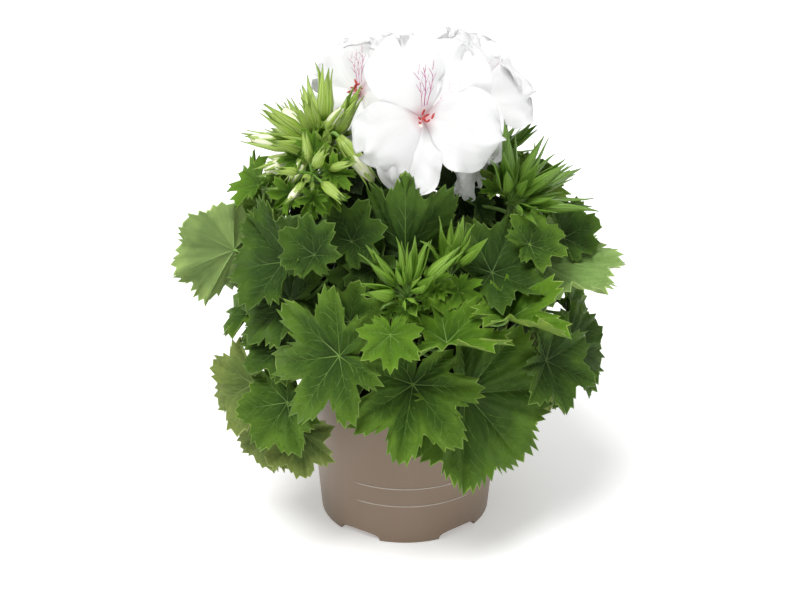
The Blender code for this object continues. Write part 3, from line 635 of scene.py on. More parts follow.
@dataclass(frozen=True)
class LeafFinish:
    """Colours and gloss of one tone of leaf."""

    # Over the upper face, outwards: the first colour is painted shade at the hub, the third is painted light at
    # the rim
    painted_hub_shade: Colour
    upper: Colour
    lit: Colour
    under: Colour
    margin: Colour
    vein: Colour
    roughness: float = 0.47
    glow: float = 0.0

    def _face(self, name: str, inner: Colour, outer: Colour, low: float, high: float,
              rough: float) -> Material:
        """Blade's skin: it lightens outwards, on the upper face from painted shade at the hub to painted light
        at the rim; it is mottled, and has a fine raised net between the veins.
        """
        shader = Shader(name, inner, rough)
        place = shader.object_place()
        share = shader.add("SeparateXYZ", {"Vector": shader.plane()}).outputs["Z"]
        patches = shader.ramp(shader.noise(place, 60, 3), 0.34, 0.68, -0.36, 0.34)
        mixed = shader.add("Math", {0: shader.ramp(share, low, high), 1: patches}, operation="ADD",
                           use_clamp=True).outputs[0]
        colour = shader.blend(mixed, inner, outer)
        net = shader.add("TexVoronoi", {"Vector": shader.plane(), "Scale": 330.0},
                         feature="DISTANCE_TO_EDGE").outputs["Distance"]
        lines = shader.ramp(net, 0.0, 0.12, 0.16, 0.0)
        shader.feed("Base Color", shader.blend(lines, colour, self.vein))
        fine = shader.bump(shader.noise(place, 1800, 2), 0.05 * MM, 0.5)
        shader.feed("Normal", shader.bump(shader.ramp(net, 0.0, 0.35), 0.16 * MM, 0.7, fine))
        shader.feed("Roughness", shader.ramp(shader.noise(place, 130, 2), 0.3, 0.7, rough - 0.07, rough + 0.1))
        shader.set("Specular IOR Level", 0.26)
        shader.set("Specular Tint", (0.86, 1.0, 0.62, 1.0))
        shader.translucent(self.glow, (0.5, 1.0, 0.2), 1.2)
        return shader.material

    def materials(self, name: str) -> list[Material]:
        """Skins of the hub in painted shade, the rest of the upper face lightening to painted light, the
        underside and the margin, in the slots' order.
        """
        margin = Shader(f"leaf_{name}_margin", self.margin, 0.5)
        margin.mottle(90, self.margin, self.lit)
        # The hub's skin darkens to painted shade at the junction; the upper skin lightens to painted light
        # towards the rim
        return [self._face(f"leaf_{name}_heart", self.painted_hub_shade, self.upper, 0.0, PAINTED_SHADE_REACH, self.roughness),
                self._face(f"leaf_{name}_upper", self.upper, self.lit, PAINTED_SHADE_REACH, 1.0, self.roughness),
                self._face(f"leaf_{name}_under", self.under, self.margin, 0.0, 2.0, self.roughness + 0.14),
                margin.material]

    def vein_material(self, name: str) -> Material:
        """Pale skin of the veins."""
        shader = Shader(f"leaf_{name}_vein", self.vein, 0.5)
        shader.mottle(70, self.lit, self.vein, low=0.3, high=0.7, most=0.65)
        return shader.material


LEAF_FINISHES = {
    # Near-black greens: painted shade for the leaves inside the plant
    PAINTED_SHADE: LeafFinish((0.005, 0.013, 0.002), (0.009, 0.022, 0.003), (0.018, 0.041, 0.004),
                     (0.02, 0.041, 0.007), (0.032, 0.068, 0.009), (0.023, 0.049, 0.007)),
    DARK: LeafFinish((0.009, 0.026, 0.004), (0.024, 0.06, 0.008), (0.068, 0.14, 0.015),
                     (0.059, 0.116, 0.02), (0.149, 0.252, 0.028), (0.105, 0.206, 0.028)),
    MID: LeafFinish((0.01, 0.032, 0.004), (0.034, 0.085, 0.007), (0.098, 0.194, 0.016),
                    (0.09, 0.162, 0.026), (0.198, 0.315, 0.035), (0.162, 0.288, 0.044)),
    YOUNG: LeafFinish((0.036, 0.099, 0.005), (0.072, 0.167, 0.009), (0.126, 0.261, 0.014),
                      (0.135, 0.234, 0.035), (0.279, 0.405, 0.057), (0.225, 0.378, 0.066), 0.42, 0.12),
    OLD: LeafFinish((0.056, 0.094, 0.019), (0.11, 0.168, 0.036), (0.2, 0.26, 0.06),
                    (0.178, 0.256, 0.066), (0.328, 0.392, 0.105), (0.25, 0.35, 0.085), 0.5),
    # Lighter, greyer greens: painted sheen on the two leaves at the sides
    PALE_SHEEN: LeafFinish((0.116, 0.208, 0.05), (0.198, 0.336, 0.086), (0.288, 0.444, 0.132),
                     (0.25, 0.376, 0.12), (0.425, 0.58, 0.172), (0.376, 0.542, 0.16), 0.42),
}


@dataclass(frozen=True)
class BudFinish:
    """Colours of sepals, and of the petals that show between them."""

    sepal: Colour
    rib: Colour
    tip: Colour

    def sepal_material(self, name: str) -> Material:
        """Sepal with pale lengthwise ribs and a tinted tip."""
        shader = Shader(f"sepal_{name}", self.sepal, 0.33)
        parts = shader.add("SeparateXYZ", {"Vector": shader.plane()})
        wave = shader.wave(parts.outputs["Y"], 13.0)
        striped = shader.blend(shader.ramp(wave, -0.2, 1.0, 0.0, 0.45), self.sepal, self.rib)
        shader.feed("Base Color", shader.blend(shader.ramp(parts.outputs["X"], 0.8, 1.0), striped, self.tip))
        shader.feed("Normal", shader.bump(wave, 0.12 * MM, 0.6))
        shader.translucent(0.15, (0.6, 1.0, 0.3), 1.5)
        return shader.material


BUD_FINISHES = {
    BRIGHT: BudFinish((0.33, 0.49, 0.065), (0.64, 0.74, 0.33), (0.18, 0.3, 0.045)),
    FRESH: BudFinish((0.2, 0.38, 0.036), (0.44, 0.6, 0.15), (0.16, 0.28, 0.04)),
    GREEN: BudFinish((0.125, 0.245, 0.026), (0.27, 0.42, 0.085), (0.12, 0.22, 0.03)),
}


@dataclass(frozen=True)
class PetalFinish:
    """Colours of the petals: white, with a faint cool shade in their folds and a blush at the throat."""

    white: Colour = (0.93, 0.93, 0.935)
    shade: Colour = (0.86, 0.86, 0.88)
    blush: Colour = (0.56, 0.26, 0.3)

    def material(self) -> Material:
        """Soft white petal with faint lengthwise veins."""
        shader = Shader("petal_white", self.white, 0.52)
        parts = shader.add("SeparateXYZ", {"Vector": shader.plane()})
        wave = shader.wave(parts.outputs["Y"], 38.0)
        veined = shader.blend(shader.ramp(wave, 0.3, 1.0, 0.0, 0.1), self.white, self.shade)
        throat = shader.ramp(parts.outputs["X"], 0.02, 0.2, 0.75, 0.0)
        shader.feed("Base Color", shader.blend(throat, veined, self.blush))
        shader.feed("Normal", shader.bump(wave, 0.05 * MM, 0.3))
        shader.translucent(0.5, (1.0, 1.0, 1.0), 3.0)
        shader.set("Sheen Weight", 0.1)
        return shader.material


@dataclass(frozen=True)
class SkinFinish:
    """Mottled skin with a fine relief, for stalks, bark, anthers and cream petals."""

    name: str
    first: Colour
    second: Colour
    roughness: float
    scale: float = 200.0
    relief: float = 0.05 * MM

    def material(self) -> Material:
        """Two colours mottled by noise, with a bump of the same noise."""
        shader = Shader(self.name, self.first, self.roughness)
        spread = shader.mottle(self.scale, self.first, self.second, 3)
        shader.feed("Normal", shader.bump(spread, self.relief, 0.6))
        return shader.material


STALK_SKIN = SkinFinish("stalk_green", (0.15, 0.3, 0.04), (0.21, 0.37, 0.07), 0.5, 260.0)
SHOOT_SKIN = SkinFinish("shoot_green", (0.12, 0.21, 0.035), (0.18, 0.27, 0.065), 0.6, 180.0)
BARK_SKIN = SkinFinish("stem_bark", (0.085, 0.07, 0.032), (0.17, 0.16, 0.07), 0.85, 240.0, 0.3 * MM)
CREAM_SKIN = SkinFinish("bud_petal_cream", (0.78, 0.82, 0.48), (0.88, 0.89, 0.7), 0.5, 300.0)
ANTHER_SKIN = SkinFinish("anther_coral", (0.34, 0.015, 0.018), (0.6, 0.07, 0.055), 0.6, 900.0)
STIGMA_SKIN = SkinFinish("stigma_white", (0.86, 0.82, 0.76), (0.93, 0.91, 0.88), 0.5, 400.0)
FILAMENT_SKIN = SkinFinish("filament_pink", (0.76, 0.26, 0.26), (0.86, 0.48, 0.46), 0.5, 400.0)
FEATHER_SKIN = SkinFinish("feather_magenta", (0.42, 0.03, 0.2), (0.6, 0.09, 0.33), 0.5, 500.0)
PEAT_SKIN = SkinFinish("compost_peat", (0.022, 0.014, 0.009), (0.06, 0.038, 0.024), 0.95, 420.0, 0.5 * MM)
CRUMB_SKIN = SkinFinish("compost_crumb", (0.03, 0.019, 0.012), (0.095, 0.06, 0.036), 0.95, 700.0, 0.2 * MM)
GRIT_SKIN = SkinFinish("compost_grit", (0.6, 0.59, 0.56), (0.74, 0.73, 0.7), 0.8, 700.0, 0.1 * MM)
PRINT_SKIN = SkinFinish("pot_pale_ink", (0.4, 0.345, 0.29), (0.45, 0.39, 0.33), 0.55, 300.0)


@dataclass(frozen=True)
class PotFinish:
    """Matt taupe plastic: faint flow marks of the mould, a fine grain, and a little dust."""

    colour: Colour = (0.214, 0.149, 0.1)
    pale: Colour = (0.246, 0.177, 0.123)
    dust: Colour = (0.3, 0.235, 0.18)

    def material(self) -> Material:
        """Skin of the pot."""
        shader = Shader("pot_taupe_plastic", self.colour, 0.45)
        place = shader.object_place()
        flow = shader.add("Mapping", {"Vector": place, "Scale": (22.0, 22.0, 5.0)}).outputs["Vector"]
        streaks = shader.noise(flow, 1.0, 3)
        tinted = shader.blend(shader.ramp(streaks, 0.35, 0.7, 0.0, 0.6), self.colour, self.pale)
        specks = shader.ramp(shader.noise(place, 1400, 2), 0.66, 0.74, 0.0, 0.5)
        shader.feed("Base Color", shader.blend(specks, tinted, self.dust))
        grain = shader.bump(shader.noise(place, 2600, 2), 0.03 * MM, 0.6)
        shader.feed("Normal", shader.bump(streaks, 0.3 * MM, 0.25, grain))
        shader.feed("Roughness", shader.ramp(streaks, 0.3, 0.7, 0.38, 0.5))
        return shader.material


@dataclass(frozen=True)
class Leaf:
    """One leaf: its mass, junction of blade and stalk, angles in degrees, size in metres, and tone."""

    home: str
    place: Vector
    turn: float
    tilt: float
    roll: float
    size: float
    cut: float
    droop: float
    fold: float
    tone: Tone


def reach(angle: float, cut: float) -> float:
    """How far a plain blade reaches at an angle from its middle lobe, as a share of its size."""
    t = abs(angle)
    for (t0, r0), (t1, r1) in zip(LOBES, LOBES[1:]):
        if t <= t1:
            f = (t - t0) / (t1 - t0)
            bite = CUT_SHARE * cut * sin(pi * f) if t1 < 180 else 0
            return (r0 + (r1 - r0) * f) * (1 - bite)
    return LOBES[-1][1]


def blade_point(leaf: Leaf, axes: tuple[Vector, Vector, Vector], along: float, across: float,
                lift: float) -> Vector:
    """Place of a point of the plain blade, from its distances along and across, above the mid surface."""
    x, y, n = axes
    share = (along * along + across * across) / leaf.size ** 2
    bend = leaf.size * (DISH * share - leaf.droop * max(along / leaf.size, 0) ** 2)
    fold = radians(leaf.fold)
    level = across * cos(fold) - copysign(lift * sin(fold), across)
    height = bend + abs(across) * sin(fold) + lift * cos(fold)
    return leaf.place + x * along + y * level + n * height


def blade_angles() -> list[float]:
    """Angles of the lobes' tips and of the cuts between them, once round the blade."""
    half = []
    for (t0, _), (t1, _) in zip(LOBES, LOBES[1:]):
        half.append(t0)
        if t1 < 180:
            half.append((t0 + t1) / 2)
    return half + [180] + [-t for t in reversed(half[1:])]


def coarse_blade(leaf: Leaf, extra: float = 0.0) -> Coarse:
    """Closed plain blade; extra makes it thicker and wider all round, to test its clearance."""
    axes = axes_of(leaf.turn, leaf.tilt, leaf.roll)
    angles = blade_angles()
    verts = [blade_point(leaf, axes, 0, 0, BLADE_HUB / 2 + extra),
             blade_point(leaf, axes, 0, 0, -BLADE_HUB / 2 - extra)]
    for sign in (1, -1):
        for angle in angles:
            r = reach(angle, leaf.cut) * leaf.size + extra
            a = radians(angle)
            lift = sign * (BLADE_EDGE / 2 + extra)
            verts.append(blade_point(leaf, axes, r * cos(a), r * sin(a), lift))
    count = len(angles)
    faces = []
    for k in range(count):
        m = (k + 1) % count
        up, low = 2, 2 + count
        faces.append((0, up + k, up + m))
        faces.append((1, low + m, low + k))
        faces.append((low + k, low + m, up + m))
        faces.append((low + k, up + m, up + k))
    return verts, faces


def petiole_path(stalk: Stalk, leaf: Leaf, count: int) -> list[Vector]:
    """Leaf stalk from its root on a twig to the blade, which it meets from behind, bowed to one side."""
    root, bow = stalk
    along, _, out = axes_of(leaf.turn, leaf.tilt, leaf.roll)
    end = leaf.place + out * 0.1 * MM
    span = (end - root).length
    rising = (end - root).normalized() + upward(0.5)
    behind = out * 0.85 + along * 0.45
    aside = (end - root).cross(upward(1)).normalized() * bow
    return bezier(root, root + rising.normalized() * span * 0.35 + aside,
                  end - behind * span * 0.35 + aside, end, count)


class Obstacles:
    """Pieces that are already in place, each with the name of the node it belongs to."""

    def __init__(self) -> None:
        """Start with nothing in the way."""
        self.items = []

    def add(self, home: str, kind: str, shape: Coarse) -> None:
        """Remember a closed piece."""
        verts, faces = shape
        self.items.append((home, kind, box_of(verts), BVHTree.FromPolygons(verts, faces)))

    def free(self, shape: Coarse, skip: set[tuple[str, str]]) -> bool:
        """Whether a shape touches nothing, apart from the (home, kind) pairs to skip."""
        verts, faces = shape
        low, high = box_of(verts)
        tree = BVHTree.FromPolygons(verts, faces)
        return not any((home, kind) not in skip
                       and all(low[i] <= other_high[i] and high[i] >= other_low[i] for i in range(3))
                       and tree.overlap(other) for home, kind, (other_low, other_high), other in self.items)


def stem_axis(height: float) -> Vector:
    """Point on the stem's axis at a height above its foot."""
    t = height / STEM_HEIGHT
    return STEM_LEAN * t * t + upward(COMPOST_TOP + GAP + height)


def stem_radius(height: float) -> float:
    """Radius of the stem at a height above its foot, with its root flare."""
    t = height / STEM_HEIGHT
    return STEM_RADIUS + (STEM_TOP_RADIUS - STEM_RADIUS) * t + STEM_FLARE * exp(-9 * t)


def stem_heights() -> list[float]:
    """Heights of the plain stem's rows above its foot, closer together in the root flare."""
    return [STEM_HEIGHT * (i / STEM_ROWS) ** 1.4 for i in range(STEM_ROWS + 1)]


class Limb:
    """One bough and the twig of its foliage mass, which goes on from the bough's tip."""

    def __init__(self, lead: list[Vector], controls: tuple[Vector, ...], count: int, radius: float,
                 twig_end: Vector) -> None:
        """Work out the bough's and the twig's paths.

        Args:
            lead: points before the bough's curve.
            controls: the curve's four control points.
            count: number of stretches of the plain bough.
            radius: of the bough at its foot.
            twig_end: where the twig ends.
        """
        self.lead, self.controls, self.radius = lead, controls, radius
        path = self.path(count)
        self.plain = path
        self.plain_radii = taper(radius, radius * BOUGH_TAPER, len(path) - 1)
        forward = (path[-1] - path[-2]).normalized()
        self.meeting = path[-1] + forward * GAP
        start = self.meeting + forward * STRAIGHT
        span = (twig_end - start).length
        bend = twig_end - upward(span * 0.25)
        self.twig_controls = (start, start + forward * span * 0.4, bend, twig_end)
        self.twig = self.twig_path(4)
        self.twig_radii = taper(self.plain_radii[-1], radius * TWIG_TAPER, 5)

    def path(self, count: int) -> list[Vector]:
        """Points of the bough, with count stretches along its curve."""
        return self.lead + bezier(*self.controls, count)

    def twig_path(self, count: int) -> list[Vector]:
        """Points of the twig, with count stretches along its curve."""
        return [self.meeting] + bezier(*self.twig_controls, count)

    def stalks(self, place: Vector) -> list[Stalk]:
        """Roots on the twig and bows that a leaf stalk may have, the nearest and straightest first."""
        roots = []
        for a, b in zip(self.twig[1:], self.twig[2:]):
            roots.append(a.lerp(b, 0.5))
            roots.append(b.copy())
        nearest = sorted(roots[:-1], key=lambda p: (p - place).length)
        return [(root, bow) for bow in STALK_BOWS for root in nearest]


def bough_controls(turn: float, foot: float, tip: tuple[float, float], lift: float,
                   radius: float) -> tuple[Vector, ...]:
    """Control points of a bough that starts just clear of the stem, at a lift in degrees."""
    out = heading(turn)
    e = radians(lift)
    direction = out * cos(e) + upward(sin(e))
    start = stem_axis(foot) + out * (stem_radius(foot) + GAP + radius * sin(e) + 0.1 * MM)
    end = at(turn, *tip)
    span = (end - start).length
    return start, start + direction * span * 0.45, end - (out + upward(0.6)) * span * 0.25, end


@dataclass(frozen=True)
class Bud:
    """One bud: foot of its body, direction, length, stalk's length and tone."""

    foot: Vector
    along: Vector
    length: float
    stalk: float
    tone: BudTone


class Growth:
    """The plant's seeded rule: limbs, heads of buds, and leaves that touch nothing."""

    def __init__(self) -> None:
        """Grow the whole plant."""
        self.obstacles = Obstacles()
        self.limbs = self._make_limbs()
        self.grown: list[tuple[Leaf, Stalk]] = []
        self.buds: list[Bud] = []
        self.head_stalks: list[list[Vector]] = []
        self._plant_wood()
        self._plant_heads()
        self._shown_leaves()
        self._ring_leaves(random.Random(SEED), LEAF_RINGS, False, random.Random(SEED + 5))
        self.main_leaves = len(self.grown)
        self._ring_leaves(random.Random(SEED + 6), SHADED_RINGS, True, random.Random(SEED + 7))

    def _make_limbs(self) -> dict[str, Limb]:
        """All boughs with their twigs: a skirt of eight, a crown of five and one that carries the flowers."""
        rows = []
        for i, side in enumerate(SKIRT_BOUGHS):
            turn = SKIRT_FIRST_TURN + SKIRT_TURN * i
            foot = SKIRT_FOOT + SKIRT_STEP * (i * 3 % len(SKIRT_BOUGHS))
            rows.append(("skirt_" + side, at(turn, *SKIRT_TWIG_TIP),
                         (turn, foot, SKIRT_TIP, SKIRT_LIFT, SKIRT_RADIUS)))
        for side, turn in CROWN_BOUGHS.items():
            first_head = next(h for h in BUD_HEADS if h[0] == side)
            rows.append(("crown_" + side, Vector(first_head[1]) * MM,
                         (turn, CROWN_FOOT, CROWN_TIP, CROWN_LIFT, CROWN_RADIUS)))
        limbs = {name: Limb([], bough_controls(*row), 4, row[-1], end) for name, end, row in rows}
        below, top = (stem_axis(h) for h in stem_heights()[-2:])
        forward = (top - below).normalized()
        foot = top + forward * GAP
        start = foot + forward * STRAIGHT
        controls = (start, start + forward * FLOWER_BOUGH_REACH,
                    FLOWER_BOUGH_TIP - upward(FLOWER_BOUGH_REACH), FLOWER_BOUGH_TIP)
        limbs["flower_head"] = Limb([foot], controls, 5, FLOWER_BOUGH_RADIUS, FLOWER_HUB)
        return limbs

    def _plant_wood(self) -> None:
        """Put the stem and the filled pot in the way."""
        path = [stem_axis(h) for h in stem_heights()]
        self.obstacles.add("stem", "wood", coarse_tube(path, [stem_radius(h) for h in stem_heights()], 12))
        filled = [(0, 0), (POT_FOOT_RADIUS, 0), (POT_RIM_RADIUS, POT_HEIGHT - POT_RIM_HEIGHT),
                  (POT_RIM_RADIUS, POT_HEIGHT), (POT_TOP_RADIUS, POT_HEIGHT),
                  (POT_TOP_RADIUS - 2 * MM, COMPOST_TOP), (0, COMPOST_TOP)]
        self.obstacles.add("pot", "pot", lathe(filled, 40))

    def _plant_heads(self) -> None:
        """Place the buds of every head, and put limbs, heads and flowers in the way."""
        draw = random.Random(SEED + 1)
        pieces: dict[str, list[Coarse]] = {name: [] for name in self.limbs}
        for side, middle, turn, tilt, spread, count, length, tone in BUD_HEADS:
            home = "crown_" + side
            hub, length = Vector(middle) * MM, length * MM
            twig = self.limbs[home].twig
            if (hub - twig[-1]).length > MM:
                root = twig[2]
                drop = upward((hub - root).length * 0.3)
                controls = (root, root.lerp(hub, 0.3), hub - drop, hub)
                pieces[home].append(coarse_tube(bezier(*controls, 3), [PEDUNCLE_RADIUS] * 4, 5))
                self.head_stalks.append(bezier(*controls, 16))
            along, across, out = axes_of(turn, tilt, 0)
            for i in range(count):
                lean = radians(spread) * sqrt((i + 0.35) / count)
                level = spun(along, across, i * radians(GOLDEN_TURN))
                direction = spun(out, level, lean)
                stalk = length * draw.uniform(*PEDICEL_SHARE)
                size = length * draw.uniform(*BUD_SHARE)
                foot = hub + direction * stalk
                self.buds.append(Bud(foot, direction, size, stalk, tone))
                pieces[home].append(coarse_tube([hub - direction * MM, foot + direction * 0.1 * size],
                                                [PEDICEL_RADIUS] * 2, 3))
                body = [foot + direction * size * t for t, _ in BUD_SHAPE]
                pieces[home].append(coarse_tube(body, [BUD_SLIMNESS * size * r for _, r in BUD_SHAPE], 3))
        for row in FLOWERS:
            pieces["flower_head"] += Flower(*row).plain_pieces()
        for name, limb in self.limbs.items():
            self.obstacles.add(name, "wood", coarse_tube(limb.plain, limb.plain_radii, 6))
            self.obstacles.add(name, "twig", coarse_tube(limb.twig, limb.twig_radii, 5))
            for piece in pieces[name]:
                self.obstacles.add(name, "bud", piece)

    def home_of(self, place: Vector) -> str:
        """Name of the foliage mass whose space holds a place: its sector, in the skirt or in the crown."""
        turn = degrees(atan2(place.x, -place.y))
        if place.z < CROWN_FLOOR:
            sector = round((turn - SKIRT_FIRST_TURN) / SKIRT_TURN) % len(SKIRT_BOUGHS)
            return "skirt_" + SKIRT_BOUGHS[sector]
        away = {name: abs((turn - t + 180) % 360 - 180) for name, t in CROWN_BOUGHS.items()}
        return "crown_" + min(away, key=away.get)

    def _fits(self, leaf: Leaf) -> Stalk | None:
        """Stalk for a leaf that stays in its space and touches nothing, or None."""
        verts, _ = wide = coarse_blade(leaf, CLEARANCE)
        if (min(v.z for v in verts) < LOWEST_LEAF or max(hypot(v.x, v.y) for v in verts) > WIDEST_LEAF
                or not self.obstacles.free(wide, set())):
            return None
        own = {(leaf.home, "twig"), (leaf.home, "stalk")}
        for stalk in self.limbs[leaf.home].stalks(leaf.place):
            path = petiole_path(stalk, leaf, 2)
            if self.obstacles.free(coarse_tube(path, [PETIOLE_RADIUS + GAP] * 3, 3), own):
                return stalk
        return None

    def _grow(self, leaf: Leaf) -> bool:
        """Add a leaf and its stalk where they fit, and say whether they did."""
        stalk = self._fits(leaf)
        if stalk is None:
            return False
        self.grown.append((leaf, stalk))
        self.obstacles.add(leaf.home, "blade", coarse_blade(leaf))
        path = petiole_path(stalk, leaf, 2)
        self.obstacles.add(leaf.home, "stalk", coarse_tube(path, [PETIOLE_RADIUS] * 3, 3))
        return True

    def _shown_leaves(self) -> None:
        """Place the leaves that show from the front, slipped along the line of sight until they fit."""
        draw = random.Random(SEED + 2)
        for x, y, z, turn, tilt, roll, size, cut, droop, fold, tone in SHOWN_LEAVES:
            for attempt in range(SHOWN_TRIES):
                slip = SLIPS[attempt % len(SLIPS)]
                ease = attempt / SHOWN_TRIES
                place = (Vector((x, y, z)) + SIGHT * slip) * MM
                leaf = Leaf(self.home_of(place), place, turn + draw.uniform(*SHOWN_TURNS) * ease,
                            tilt + draw.uniform(*SHOWN_TILTS) * ease,
                            roll + draw.uniform(*SHOWN_ROLLS) * ease,
                            size * (1 - SHOWN_SHRINK * ease) * MM, cut, droop,
                            fold * (1 - SHOWN_UNFOLD * ease), tone)
                if self._grow(leaf):
                    break

    def _ring_leaves(self, draw: Draw, rings: tuple, inner: bool, tone_draw: Draw) -> None:
        """Place rings of leaves all round, each tried with other seeded angles until it fits.

        Args:
            draw: source of the leaves' places and angles.
            rings: height, distance, number, tilt, size and tones of each ring.
            inner: whether the rings are inside the plant, where the shown leaves don't hold the front.
            tone_draw: source of the leaves' tones.
        """
        for level, (height, distance, count, tilt, size, tones) in enumerate(rings):
            height, distance, size = height * MM, distance * MM, size * MM
            front_taken = not inner and (distance > SHOWN_DEPTH or height > SHOWN_HEIGHT)
            for i in range(count):
                around = 360 * (i + 0.5 * (level % 2)) / count
                tone = tone_draw.choice(tones)
                for attempt in range(LEAF_TRIES):
                    turn = around + draw.uniform(*RING_PLACES)
                    aside = abs((turn + 180) % 360 - 180)
                    if front_taken and aside < SHOWN_SECTOR:
                        continue
                    away = distance * (SIDE_SHARE if aside < SIDE_SECTOR else 1)
                    place = at(turn, away + draw.uniform(*RING_DISTANCES) * MM,
                               height + draw.uniform(*RING_HEIGHTS) * MM)
                    size_now = size * (draw.uniform(*RING_SIZES) - RING_SHRINK * attempt)
                    leaf = Leaf(self.home_of(place), place, turn + draw.uniform(*RING_TURNS),
                                tilt + draw.uniform(*RING_TILTS), draw.uniform(*RING_ROLLS), size_now,
                                draw.uniform(*RING_CUTS), draw.uniform(*RING_DROOPS),
                                draw.uniform(*RING_FOLDS), tone)
                    if self._grow(leaf):
                        break


class BladeSurface:
    """Mid surface of one fine blade: lobes with sharp teeth, pleats at the veins and a wavy margin."""

    TOOTH = 4.3 * MM
    TOOTH_OUT = 0.042
    TOOTH_IN = 0.044
    PLEAT = 0.13
    SIDE_PLEAT = 0.052
    LOBE_LIFT = 0.16
    CUP = 0.12
    POINT = 0.035
    THICKNESS = 0.45 * MM
    TOOTH_SKEW = 0.72
    TOOTH_PLAY = (-0.12, 0.12)
    TOOTH_HEIGHTS = (0.5, 1.4)
    RUFFLE = (0.025, 0.05)
    CURLS = (-0.05, -0.03, 0.02, 0.05, 0.08)
    VEIN_BRANCHES = (0.26, 0.44, 0.6, 0.76)

    def __init__(self, leaf: Leaf, draw: Draw, sharp: float = 1.0) -> None:
        """Settle the margin and the waves of a leaf's blade, with the depth of its teeth as a share."""
        self.leaf = leaf
        self.axes = [np.array(v) for v in axes_of(leaf.turn, leaf.tilt, leaf.roll)]
        self.wave = [draw.uniform(0, 2 * pi) for _ in range(3)]
        self.ruffle = draw.uniform(*self.RUFFLE)
        self.curl = draw.choice(self.CURLS)
        self.offset = np.array([draw.uniform(0, 1), draw.uniform(0, 1), 0])
        tips = [t for t, _ in LOBES[:-1]]
        self.lobe_turns = np.radians([-t for t in reversed(tips[1:])] + tips)
        self.lobe_lifts = np.array([draw.uniform(-self.LOBE_LIFT, self.LOBE_LIFT) for _ in self.lobe_turns])
        right, left = self._half_margin(draw, sharp), self._half_margin(draw, sharp)
        rows = [(-a, r, t) for a, r, t in reversed(left[1:-1])] + right
        angles, self.reaches, self.teeth = (np.array(c) for c in zip(*rows))
        self.angles = np.radians(angles)

    def _half_margin(self, draw: Draw, sharp: float) -> list[tuple[float, float, float]]:
        """Angle, reach and tooth height from the middle lobe's tip round to the notch at the stalk."""
        leaf = self.leaf
        rows = []
        for (t0, r0), (t1, r1) in zip(LOBES, LOBES[1:]):
            last = t1 >= 180
            arc = radians(t1 - t0) * leaf.size * (r0 + r1) / 2
            count = max(2, round(arc / 2 / self.TOOTH))
            spots = []
            for k in range(count):
                spots += [(k / (2 * count), 1.0), ((k + self.TOOTH_SKEW) / (2 * count), -1.0)]
            spots.append((0.5, -1.0))
            spots += [(1 - f, s) for f, s in reversed(spots[1:-1])]
            for f, side in spots:
                if last:
                    base = r0 + (r1 - r0) * f ** 1.7
                else:
                    deep = sin(pi * f)
                    base = (r0 + (r1 - r0) * f) * (1 - self.POINT * deep - CUT_SHARE * leaf.cut * deep ** 4)
                shift = draw.uniform(*self.TOOTH_PLAY) / (2 * count) if 0 < f < 1 else 0.0
                height = self.TOOTH_OUT if side > 0 else -self.TOOTH_IN
                height = height * draw.uniform(*self.TOOTH_HEIGHTS) * sharp
                if last and f > 0.6:
                    height *= 0.3
                rows.append((t0 + (t1 - t0) * (f + shift), base, height))
        rows.append((180, LOBES[-1][1], 0.0))
        return rows

    def place(self, angle: Array, share: Array, lift: float = 0.0) -> tuple[Array, Array]:
        """Points of the blade.

        Args:
            angle: from the middle lobe, in radians.
            share: of the way out to the margin.
            lift: height above the mid surface, in metres.

        Returns:
            The points, and their places in the blade's own plane.
        """
        leaf, size = self.leaf, self.leaf.size
        full = 2 * pi
        base = np.interp(angle, self.angles, self.reaches, period=full)
        tooth = np.interp(angle, self.angles, self.teeth, period=full)
        r = size * (base * share + tooth * smooth_step(0.7, 1.0, share))
        along, across = r * np.cos(angle), r * np.sin(angle)
        away = np.abs(np.degrees(angle))
        tips = np.array([t for t, _ in LOBES], float)
        between = np.interp(away, tips, np.arange(len(tips)))
        between -= np.floor(between)
        ridge = np.sin(np.pi * between)
        detail = self.PLEAT * share ** 1.1 * (ridge ** 0.8 - 0.45)
        detail += self.SIDE_PLEAT * share ** 1.4 * (np.abs(np.sin(3 * np.pi * between)) - 0.6)
        detail += 0.012 * share ** 2 * ridge * np.sin(full * (3.2 * share - 1.6 * np.abs(between - 0.5)))
        detail += self.ruffle * share ** 3 * np.sin(5 * angle + self.wave[0])
        detail += 0.45 * self.ruffle * share ** 4 * np.sin(13 * angle + self.wave[1])
        margin = self.curl * smooth_step(0.72, 1.0, share) ** 2
        detail += margin * (0.6 + 0.4 * np.sin(2 * angle + self.wave[2]))
        detail += np.interp(angle, self.lobe_turns, self.lobe_lifts, period=full) * share ** 2
        detail += self.CUP * (share ** 1.4 - share ** 3)
        over = size * detail + lift
        flat = (along ** 2 + across ** 2) / size ** 2
        bend = size * (DISH * flat - leaf.droop * np.maximum(along / size, 0) ** 2)
        fold = radians(leaf.fold)
        side = np.sign(across)
        level = across * cos(fold) - side * over * sin(fold)
        height = bend + np.abs(across) * sin(fold) + over * cos(fold)
        x, y, n = self.axes
        points = np.array(leaf.place) + np.outer(along, x) + np.outer(level, y) + np.outer(height, n)
        plane = np.stack((along, across, share), 1) + self.offset
        return points, plane

